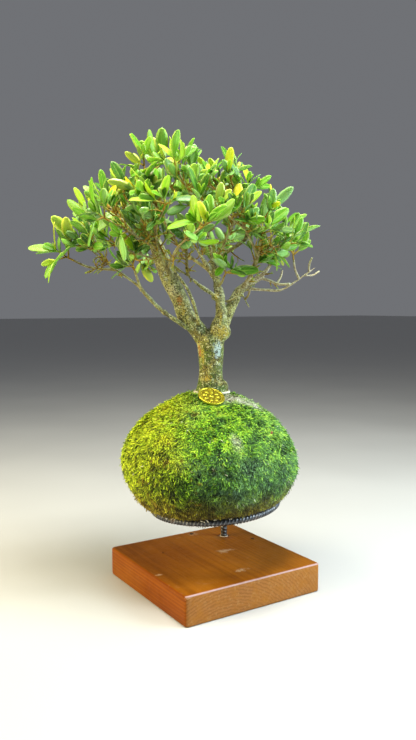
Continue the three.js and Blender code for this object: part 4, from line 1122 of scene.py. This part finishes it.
def moss_marks(points, tip, jitter):
    """The moss's colours by place: yellow on one flank, partly its own and partly painted warm light; bluish painted
    shade in two hollows and painted cool light on the right; brown rim, dry scraps on the shoulder.
    """
    x, y, z = np.moveaxis(points, -1, 0)
    cloud, patch, tuft = rough(points, 26, 31, 2), rough(points, 11, 34, 2), rough(points, 4.6, 36)
    # Painted shade: two dark hollows, low at the front right and at the back left.
    dark = step(np.linalg.norm((points - (22, -78, 120)) / (40, 40, 32), axis=-1), 1.2, 0.3)
    back_painted_shade = step(np.linalg.norm((points - (-30, 74, 118)) / (40, 40, 26), axis=-1), 1.2, 0.3)
    # The tone is lighter towards the top, the upper left and the right and darker low down, as painted light and
    # shade, over the moss's own patchy tone.
    tone = 0.62 + 0.07 * cloud + 0.22 * patch + 0.32 * tuft + 0.1 * step(z, 125, 165) + 0.1 * step(z, 165, 180)
    tone = tone - 0.06 * step(x, -30, 0) * step(z, 140, 160) - 0.1 * step(z, 108, 88) + jitter
    tone = tone - step(z, 172, 128) * step(x + 8 * patch, -74, -30) * (0.28 - 0.07 * step(x, -15, 15))
    tone = tone - 0.05 * step(z, 130, 104) + 0.15 * step(z, 148, 168) * step(x, -15, -45) + 0.1 * step(x, 25, 65)
    # Yellow on the left flank, less towards the back: partly the moss's own colour, partly painted warm light.
    yellow_and_warm_light = step(x + 14 * patch, -12, -62) * 0.68 + 0.4 * step(cloud, 0.1, 0.5) * step(x, -5, -35)
    yellow_and_warm_light = yellow_and_warm_light * (1 - 0.5 * step(y + 20 * patch, -25, 45))
    # Bluish: the painted shade of the hollows, painted cool light on the right, and random cool patches of the moss's
    # own.
    cool_tint_painted_light_and_shade = np.maximum(dark, back_painted_shade) * (0.6 + patch) + 0.6 * step(x, 5, 70) + 0.5 * step(cloud, 0.15, 0.5)
    cool_tint_painted_light_and_shade = np.clip(cool_tint_painted_light_and_shade, 0, 1)
    brown = 0.75 * step(z + 9 * patch, 116, 84) + 0.7 * step(rough(points, 4, 40), 0.5, 0.8) * step(x, 30, -30)
    dry = sum(share * near_line(points + 2.5 * patch[..., None], *row) for share, row in DRY_PATCHES)
    bare = step(np.hypot(x, y), 24, 18) * 0.6 * step(patch, -0.2, 0.3)
    return {
        "tone": np.clip(tone, 0.04, 1),
        "yellow_and_warm_light": np.clip(yellow_and_warm_light, 0, 1),
        "cool_tint_painted_light_and_shade": cool_tint_painted_light_and_shade * step(x, -45, -10),
        "brown": np.clip(brown, 0, 0.9),
        "dry": np.clip(np.maximum(dry, bare) * (0.75 + 0.5 * rough(points, 3, 44)), 0, 1),
        "tip": tip,
    }


def moss_carpet(rows=140, columns=320):
    """The ball's closed ground under the sprigs: its place plus lumps along the normal."""
    share, turn = np.meshgrid(np.linspace(0.004, 0.996, rows), circle(columns), indexing="ij")
    points, normal = moss_place(share, turn), moss_normal(share, turn)
    clear = step(bar_distance(points), 4.4, 8)[..., None]
    lift = 0.55 * rough(points, 8, 21, 2) + 0.35 * rough(points, 2.4, 23) + 0.5 * rough(points, 4.6, 36)
    points = (points + normal * lift[..., None] * clear).reshape(-1, 3)
    # Painted shade: the ground under the sprigs is marked low on tip, so it is drawn dark.
    marks = moss_marks(points, 0.2 + 0.15 * rough(points, 2.4, 23), 0)
    return shape(points, [grid_faces(rows, columns, wrap=True), end_caps(rows, columns)], **marks)


def moss_sprigs(count, seed):
    """Fine bent blades of moss: each lies along a combed direction near the surface and lifts its tip."""
    draw = np.random.default_rng(seed)
    share, turn = share_by_area(draw.random(2 * count)), draw.uniform(0, 2 * np.pi, 2 * count)
    roots = moss_place(share, turn)
    under_disc = np.linalg.norm((roots - DISC_PLACE) * (1, 1, 0.4), axis=1) < DISC_RADIUS - 0.8
    keep = (bar_distance(roots) > 5.2) & (np.hypot(roots[:, 0], roots[:, 1]) > 16.5) & ~under_disc
    keep &= (roots[:, 2] > 84) | (draw.random(2 * count) < 0.3)
    keep &= (rough(roots, 4.6, 36) > -0.28) | (draw.random(2 * count) < 0.45)
    keep &= (moss_marks(roots, 0, 0)["dry"] < 0.5) | (draw.random(2 * count) < 0.6)
    keep = np.flatnonzero(keep)[:count]
    share, turn, roots = share[keep], turn[keep], roots[keep]
    count = len(keep)
    normal = moss_normal(share, turn)
    down = unit(moss_place(share - 2e-3, turn) - roots)
    across = np.cross(normal, down)
    comb = 1.1 * rough(roots, 14, 51) + 0.8 * rough(roots, 5, 53) + draw.normal(0, 0.75, count)
    lie = np.cos(comb)[:, None] * down + np.sin(comb)[:, None] * across
    side = unit(np.cross(normal, lie))
    tight = step(bar_distance(roots), 6, 12)
    length = draw.uniform(1.9, 4.7, count) * (0.4 + 0.6 * tight)
    rise = draw.uniform(0.08, 0.6, count) * length * (0.3 + 0.7 * tight)
    rise = np.where(draw.random(count) < 0.05 * tight, 0.9 * length, rise)
    bend = draw.normal(0, 0.16, count) * length
    share_out, lift = np.array([0, 0.4, 0.75, 1.0]), np.array([-0.12, 0.6, 0.9, 1.1])
    half = np.array([0.2, 0.32, 0.26, 0])[None, :, None] * draw.uniform(0.8, 1.35, count)[:, None, None]
    middle = roots[:, None] + share_out[:, None] * length[:, None, None] * lie[:, None]
    middle = middle + lift[:, None] * rise[:, None, None] * normal[:, None]
    middle = middle + (share_out**2)[:, None] * bend[:, None, None] * side[:, None]
    roll = draw.uniform(-0.9, 0.9, count)[:, None, None]
    edge = half * (np.cos(roll) * side[:, None] + np.sin(roll) * normal[:, None])
    points = np.stack([middle[:, :3] - edge[:, :3], middle[:, :3] + edge[:, :3]], 2).reshape(count, 6, 3)
    points = np.concatenate([points, middle[:, 3:]], 1)
    quads = np.array([[0, 2, 3, 1], [2, 4, 5, 3]])
    # Painted shade: each sprig darkens towards its root, among the others.
    tips = np.tile([0.12, 0.12, 0.62, 0.62, 0.9, 0.9, 1.0], (count, 1))
    jitter = draw.normal(0, 0.2, count) * (1 + 0.7 * step(roots[:, 0], 0, -45))
    jitter = np.repeat(jitter, 7).reshape(count, 7)
    marks = moss_marks(points, tips, jitter)
    marks["dry"] = np.where(draw.random((count, 1)) < 0.004, 0.7, marks["dry"])
    return copies(points, [quads[:, ::-1], np.array([[4, 5, 6]])], **marks)


# ---- Steel, block and disc ----


def rib_height(phase, angle):
    """Slanted crescent ribs: a ridge where the phase plus 2.2 turns of slant comes round, sunk at two seams."""
    slant = phase + 2.2 * np.abs((angle / np.pi) % 2 - 1) * np.pi
    across = np.maximum(0, np.cos(slant)) ** 1.2 * np.abs(np.sin(angle)) ** 0.35
    return np.maximum(across, 0.8 * np.maximum(0, np.abs(np.cos(angle)) - 0.95) / 0.05)


def steel_ring(ribs=115, columns=32):
    """The bar bent round: ring centre + (radius + bar * cos) outwards and bar * sin upwards, with ribs."""
    turn, bar = np.meshgrid(circle(8 * ribs), circle(columns), indexing="ij")
    rib = rib_height(ribs * turn, bar + 1.9)
    radius = BAR_RADIUS - 0.1 + 0.55 * rib
    out = RING_RADIUS + radius * np.cos(bar)
    x, y = RING_X + out * np.cos(turn), out * np.sin(turn)
    z = RING_Z + ring_rise(x, y) + radius * np.sin(bar)
    return shape(np.stack([x, y, z], -1), [ring_faces(8 * ribs, columns)], rib=rib.ravel())


def steel_post():
    """The upright bar with its ribs, from its hole up to the weld's collar under the ring."""
    x, y = unturned(np.array([[POST_PLACE[0], POST_PLACE[1], 0]]) * MM)[0, :2]
    top = RING_Z + ring_rise(x, y) - BAR_RADIUS - 0.2
    z, turn = np.meshgrid(np.arange(7, top, 0.36), circle(24), indexing="ij")
    rib = rib_height(2 * np.pi * z / 3.6, turn + 0.9) * step(z, BLOCK_HEIGHT - 1, BLOCK_HEIGHT + 1)
    lump = rough(np.stack([6 * np.cos(turn), 6 * np.sin(turn), z], -1), 2.2, 61)
    collar = step(z, top - 3.2, top - 1.2) * (1.4 + 0.9 * lump)
    radius = BAR_RADIUS - 0.05 + 0.5 * rib * (1 - step(z, top - 3.2, top - 2)) + collar
    points = np.stack([POST_PLACE[0] + radius * np.cos(turn), POST_PLACE[1] + radius * np.sin(turn), z], -1)
    return shape(points, [grid_faces(*z.shape, wrap=True), end_caps(*z.shape)], rib=rib.ravel())


def square_outline(inset, corner, steps=7, along=14):
    """Rounded square: a quarter circle at each corner, joined to the next by evenly placed points on a side."""
    half = BLOCK_SIDE / 2 - inset - corner
    first = np.pi / 2 * np.arange(4)[:, None]
    angle = first - np.pi / 2 + np.linspace(0, np.pi / 2, steps)
    centre = math.sqrt(2) * half * np.stack([np.cos(first - np.pi / 4), np.sin(first - np.pi / 4)], -1)
    arcs = centre + corner * np.stack([np.cos(angle), np.sin(angle)], -1)
    share = (np.arange(1, along + 1) / (along + 1))[None, :, None]
    sides = arcs[:, -1:] * (1 - share) + np.roll(arcs, -1, 0)[:, :1] * share
    return np.concatenate([arcs, sides], 1).reshape(-1, 2)


def wooden_block():
    """Loft from the bottom's middle round both softened edges to the post's hole: each ring is the rounded
    square inset by 1.6 * (1 - sin a) at the edge angle a, and the top narrows to a circle round the hole."""

    def level(edge, z):
        return np.column_stack([edge, np.full(len(edge), z)])

    outer = square_outline(BLOCK_BEVEL, BLOCK_CORNER)
    rings = [level(outer * k, 0.0) for k in (0.02, 0.4, 0.8, 1)]
    soft = []
    for a in np.linspace(0, np.pi / 2, 6)[1:]:
        edge = square_outline(BLOCK_BEVEL * (1 - math.sin(a)), BLOCK_CORNER)
        soft.append((edge, BLOCK_BEVEL * (1 - math.cos(a))))
    side = square_outline(0, BLOCK_CORNER)
    rings += [level(edge, z) for edge, z in soft]
    rings += [level(side, z) for z in np.linspace(BLOCK_BEVEL, BLOCK_HEIGHT - BLOCK_BEVEL, 10)[1:-1]]
    rings += [level(edge, BLOCK_HEIGHT - z) for edge, z in soft[::-1]]
    way = unit(outer - POST_PLACE)
    hole = POST_PLACE + (BAR_RADIUS + 0.4) * way
    rings += [level(outer * (1 - k) + hole * k, BLOCK_HEIGHT) for k in (0, 0.12, 0.4, 0.7, 0.9, 1)]
    rings += [level(hole, z) for z in (26, 14, HOLE_FLOOR)]
    rings.append(level(POST_PLACE + 0.1 * way, HOLE_FLOOR))
    points = np.stack(rings)
    rows, columns = points.shape[:2]
    worn = rough(points, 30, 71)[..., None] * 0.12 + rough(points, 7, 72)[..., None] * 0.07
    edge_share = np.exp(-(((points[..., 2:] - 27) / 1.6) ** 2)) + np.exp(-(((points[..., 2:] - 1) / 1.6) ** 2))
    away = np.abs(points[..., :2]).max(-1, keepdims=True)
    points = points - points * (1, 1, 0) / 75 * np.abs(worn) * edge_share * (away > 72)
    return shape(points, [grid_faces(rows, columns, wrap=True), end_caps(rows, columns)])


def disc_height(out, turn):
    """Relief from 0 to 1: a rounded rim, a beaded ring, eight petals round a boss, and a little wear."""
    rim = step(out, DISC_RADIUS - 1.7, DISC_RADIUS - 1.1)
    beads = 0.7 * np.exp(-(((out - 10.1) / 0.55) ** 2)) * np.maximum(0, np.cos(30 * turn)) ** 0.7
    across = np.cos(4 * turn) ** 2
    petals = step(across * np.exp(-(((out - 6.4) / 2.2) ** 2)), 0.25, 0.6)
    boss = step(out, 2.6, 1.6)
    return np.clip(np.maximum(np.maximum(rim, beads), np.maximum(petals, boss)), 0, 1)


def foot_disc(rows=64, columns=144):
    """Plate in polar rows: underside, rounded rim, then the relief, turned to lie on the moss."""
    half = DISC_THICKNESS / 2
    turn = circle(columns)[None]
    out = np.linspace(DISC_RADIUS - 0.15, 0.1, rows)[:, None]
    relief = disc_height(out, turn)
    upper = half + DISC_RELIEF * relief
    under = np.array([0.1, 5.0, 10.0, DISC_RADIUS - 0.25, DISC_RADIUS, DISC_RADIUS])[:, None]
    low = np.array([-half, -half, -half, -half, -half + 0.25, half + DISC_RELIEF - 0.2])[:, None]
    radius = np.concatenate([under, out]) + 0 * turn
    height = np.concatenate([low + 0 * turn, upper])
    raised = np.concatenate([np.full((6, columns), 0.6), relief])
    points = np.stack([radius * np.cos(turn), radius * np.sin(turn), height], -1).reshape(-1, 3)
    (ca, sa), (cb, sb) = ((math.cos(a), math.sin(a)) for a in DISC_TILT)
    tilt = np.array([[1, 0, 0], [0, ca, -sa], [0, sa, ca]]) @ np.array([[cb, 0, sb], [0, 1, 0], [-sb, 0, cb]])
    faces = [grid_faces(len(raised), columns, wrap=True), end_caps(len(raised), columns)]
    return shape(points @ tilt.T + DISC_PLACE, faces, raised=raised.ravel())


def ring_bead(centre, radius, thick, lumpiness, size, flat=1.0, sides=10, steps=72):
    """A lumpy bead round a centre: thick * (1 + lumps), flattened upwards."""
    turn, bar = circle(steps)[:, None], circle(sides)[None]
    flat_ring = [radius * np.cos(turn) + 0 * bar, radius * np.sin(turn) + 0 * bar]
    base = np.stack([*flat_ring, 0 * turn + thick * np.sin(bar)], -1)
    reach = thick * (1 + lumpiness * rough(base + np.array(centre), size, 81, 2))
    out = radius + reach * np.cos(bar)
    points = np.stack([out * np.cos(turn), out * np.sin(turn), flat * reach * np.sin(bar)], -1) + centre
    return shape(points, [ring_faces(steps, sides)])


def flakes(places, sizes, seed):
    """Small uneven scraps: stretched balls, lumpy and turned at random, half sunk where they lie."""
    draw = np.random.default_rng(seed)
    made = []
    for place, size in zip(places, sizes):
        one = ball((0, 0, 0), (1, 1, 1), 7, 10)
        axes = np.linalg.qr(draw.normal(size=(3, 3)))[0]
        axes = axes * np.sign(np.linalg.det(axes))
        points = one["points"] * (1 + 0.35 * rough(one["points"] + 9 * np.array(place), 0.7, 91))[:, None]
        made.append({**one, "points": (points * size) @ axes + place})
    return gathered(made)


def scattered(count, seed):
    """Places on the ball's skin, spread by its area."""
    draw = np.random.default_rng(seed)
    share, turn = share_by_area(draw.uniform(0.25, 0.97, count)), draw.uniform(0, 2 * np.pi, count)
    return moss_place(share, turn) + 0.9 * moss_normal(share, turn)


# ---- Putting the pieces in ----

bark, leaf_green, twig_brown, moss_green = bark_finish(), leaf_finish(), twig_finish(), moss_finish()
steel, gold, wood = steel_finish(), gold_finish(), wood_finish()
straw = flake_finish("dry_straw", (0.42, 0.36, 0.24), (0.85, 0.82, 0.68))
glue = flake_finish("pale_glue", (0.32, 0.24, 0.17), (0.62, 0.52, 0.42))
crumb = flake_finish("brown_crumb", (0.12, 0.035, 0.014), (0.3, 0.12, 0.05))
dark_scrap = flake_finish("dark_scrap", (0.01, 0.006, 0.004), (0.07, 0.03, 0.015))

piece("block", wooden_block(), wood, "varnished_wood", "base_block", on_block=True, smooth=False)
piece("ring_bar", steel_ring(), steel, "ribbed_steel", "rebar_ring")
piece("post_bar", steel_post(), steel, "ribbed_steel", "rebar_post", on_block=True)
glue_bead = ring_bead((*POST_PLACE, BLOCK_HEIGHT), radius=3.7, thick=0.75, lumpiness=0.5, size=1.6, flat=0.6)
piece("post_glue", glue_bead, glue, "varnished_wood", on_block=True)
frame["nodes"]["soil_core"].data.materials.clear()
frame["nodes"]["soil_core"].data.materials.append(soil_finish())
piece("moss_carpet", moss_carpet(), moss_green, "moss", "moss_skin")
for number in range(3):
    piece(f"moss_sprigs_{number + 1}", moss_sprigs(SPRIGS_IN_PIECE, seed=60 + number), moss_green, "moss", "moss_skin")
chips = np.vstack([[(-64.6, -57.2, 128)], scattered(9, seed=5)])
piece("moss_chips", flakes(chips, [(0.8, 0.6, 2.6)] + [(0.5, 0.35, 1.3)] * 9, seed=6), straw, "moss")
crumbs = np.vstack([[(-27.7, -75.1, 144.6), (54, -50, 160)], scattered(10, seed=8)])
piece("moss_crumbs", flakes(crumbs, [(1.1, 0.8, 1.5)] * 2 + [(0.7, 0.5, 1.2)] * 10, seed=9), crumb, "moss")
# Straws that stick out at the ring
STRAWS = [
    [(-11.2, -63.5, 82.6), (-9.4, -64.2, 84), (-7.4, -64.6, 84.2), (-5.2, -64.7, 83), (-3.8, -64.5, 80.8)],
    [(-10.6, -63.9, 81.8), (-8.8, -64.5, 81.8), (-6.8, -64.7, 80.8)],
    [(1.2, -62.6, 82.2), (2.4, -63, 82.9), (3.6, -62.8, 82.6)],
    [(15, -61.2, 82.6), (16.4, -61.4, 83.2), (17.6, -61, 82.9)],
    [(-38, -47.6, 78.8), (-36, -49.4, 79.6), (-34, -51, 79)],
]
# Dark scraps on the block, in its own axes: where, and how long, wide and high
BLOCK_SCRAPS = [(15.6, 66.4, 28.3), (17.4, 65.8, 28.2), (62.7, 16.9, 28.3), (61.2, 17.8, 28.2), (-38.8, 30.7, 28.2)]
scrap_sizes = [(1.7, 1.3, 0.9), (1, 0.7, 0.5), (1.6, 1.1, 0.8), (1.2, 0.6, 0.5), (0.8, 0.6, 0.5)]
piece("block_scraps", flakes(BLOCK_SCRAPS, scrap_sizes, seed=12), dark_scrap, "varnished_wood", on_block=True)
straws = [round_bar(stations([(*place, 0.46) for place in line], 4), 6) for line in STRAWS]
piece("ring_straws", gathered(straws), straw, "moss")
piece("trunk", stout_wood(), bark, "bark", "tree_wood")
piece("branches", thin_wood(), bark, "bark", "tree_wood")
piece("disc", foot_disc(), gold, "gold_disc", "foot_disc")
foot_band = ring_bead((-0.6, 0, 191.6), radius=16.6, thick=1.5, lumpiness=0.7, size=3.0, flat=0.8)
piece("foot_wrap", foot_band, straw, "bark")

drawn = np.concatenate([np.array(spray["leaves"]) for spray in sprays])
leaf_spray = np.concatenate([np.full(len(spray["leaves"]), k) for k, spray in enumerate(sprays)])
tips = np.array([twig[-1] for spray in sprays for twig in spray["twigs"]])
tip_ways = unit(np.array([twig[-1] - twig[-2] for spray in sprays for twig in spray["twigs"]]))
tip_spray = np.repeat(np.arange(len(sprays)), 3)
starts, ends = side_shoots(4, shortest=5, longest=12)
hollow = (np.hypot(ends[:, 0] + 15, ends[:, 1]) < 50) & (ends[:, 2] < 345)
leafy = (shell_share(ends) > 0.72) & ~hollow
starts, ends = starts[leafy], ends[leafy]
bare_starts, bare_ends = side_shoots(12, shortest=6, longest=19)
inside = (shell_share(bare_ends) < 0.98) & (bare_starts[:, 2] > 303)
bare_starts, bare_ends = bare_starts[inside], bare_ends[inside]
forks = bare_starts + (bare_ends - bare_starts) * decor.uniform(0.4, 0.8, len(bare_ends))[:, None]
fork_ways = unit(unit(bare_ends - bare_starts) + random_units(len(forks)))
fork_ends = forks + fork_ways * decor.uniform(3, 8, len(forks))[:, None]
nearest = np.linalg.norm(ends[:, None] - tips[None], axis=-1).argmin(1)
young = rosette(tips, tip_ways, YOUNG_AT_TIP, shortest=8, longest=14, spread=(0.1, 0.5))
shoots = rosette(ends, unit(ends - starts), LEAVES_ON_SHOOT, shortest=10, longest=19, spread=(0.35, 1.1))
carrier_spray = np.concatenate([tip_spray, tip_spray[nearest]])
seen = seen_leaves(np.concatenate([tips, ends]))
leaves = np.concatenate([drawn, young, shoots, seen[:, :12]])
carried = [np.repeat(tip_spray, YOUNG_AT_TIP), np.repeat(tip_spray[nearest], LEAVES_ON_SHOOT)]
carried.append(carrier_spray[seen[:, 12].astype(int)])
of_spray = np.concatenate([leaf_spray, *carried])
shell = shell_share(leaves[:, :3])
painted_sunlight = 0.5 + 0.5 * unit(leaves[:, :3] - CROWN_CENTRE) @ unit(np.array([-0.5, -0.2, 0.85]))
# Darker inside the crown as painted shade, lighter outside and towards the upper left as painted light, deeper at the
# far left, fresher over the right limb
tone = 0.02 + 0.3 * step(shell, 0.5, 1.1) + 0.24 * painted_sunlight + decor.normal(0, 0.27, len(leaves))
tone[len(drawn) : len(drawn) + len(young)] += 0.2
tone -= 0.35 * step(leaves[:, 2], 310, 285) * step(leaves[:, 0], -85, -105)
tone += 0.28 * step(leaves[:, 2], 324, 310) * step(leaves[:, 0], 14, 24) * step(leaves[:, 0], 72, 62)
tone[-len(seen) :] = seen[:, 13]
gloss = decor.random(len(leaves))
# Low on the right the shoots stay bare, but for what the solids and the near side have there
bare_side = (leaves[:, 0] > 24) & (leaves[:, 2] < 306)
bare_side[: len(drawn)] = bare_side[-len(seen) :] = False
for number in range(LEAF_PIECES):
    first, last = (round(k * len(sprays) / LEAF_PIECES) for k in (number, number + 1))
    mine = (of_spray >= first) & (of_spray < last) & ~bare_side
    stands_for = [f"leaf_spray_{k + 1:02}" for k in range(first, last)]
    made = blades(leaves[mine], np.clip(tone[mine], 0, 1), gloss[mine])
    piece(f"leaves_{number + 1}", made, leaf_green, "leaf", *stands_for)
twig_runs = [np.column_stack([twig, np.linspace(0.95, 0.6, len(twig))]) for s in sprays for twig in s["twigs"]]
twig_bars = [round_bar(stations(run, 3), 6) for run in twig_runs]
twig_bars += [shoot_bars(starts, ends, 0.75, 0.45), shoot_bars(bare_starts, bare_ends, 0.7, 0.4)]
twig_bars.append(shoot_bars(forks, fork_ends, 0.5, 0.35))
piece("twigs", gathered(twig_bars), twig_brown, "bark")


# ---- Floor, light and camera ----

floor_mesh = bpy.data.meshes.new("floor")
floor_mesh.from_pydata([(-15, -15, 0), (15, -15, 0), (15, 15, 0), (-15, 15, 0)], [], [(0, 1, 2, 3)])
floor_mesh.materials.append(floor_finish())
placed("floor", floor_mesh)


def soft_light(name, place, size, power, colour, aim=(0, 0, 230)):
    """A square soft light at a place of the plant's frame, its size in metres, looking at its aim."""
    lamp = bpy.data.lights.new(name, "AREA")
    lamp.size, lamp.energy, lamp.color = size, power, colour
    thing = placed(name, lamp)
    thing.location = Vector(turned(np.array([place]))[0])
    thing.rotation_euler = (Vector(turned(np.array([aim]))[0]) - thing.location).to_track_quat("-Z", "Y").to_euler()


soft_light("key", (60, -180, 1150), 0.4, 22, (1.0, 0.98, 0.9))
soft_light("left", (-820, -240, 430), 0.45, 12, (1.0, 0.85, 0.45))
soft_light("right", (800, -160, 480), 0.5, 13, (0.78, 0.94, 1.0))

world = bpy.data.worlds.new("studio")
world.use_nodes = True
world.node_tree.nodes["Background"].inputs["Color"].default_value = (0.9, 0.93, 1.0, 1)
world.node_tree.nodes["Background"].inputs["Strength"].default_value = 0.18
bpy.context.scene.world = world
bpy.context.scene.view_settings.view_transform = "Standard"

lens = bpy.data.cameras.new("camera")
lens.lens, lens.sensor_width = 34.586, 36
camera = placed("camera", lens)
camera.location = Vector(turned(CAMERA_PLACE[None])[0])
camera.rotation_euler = (math.radians(90 - CAMERA_PITCH), 0, PLANT_TURN)
bpy.context.scene.camera = camera
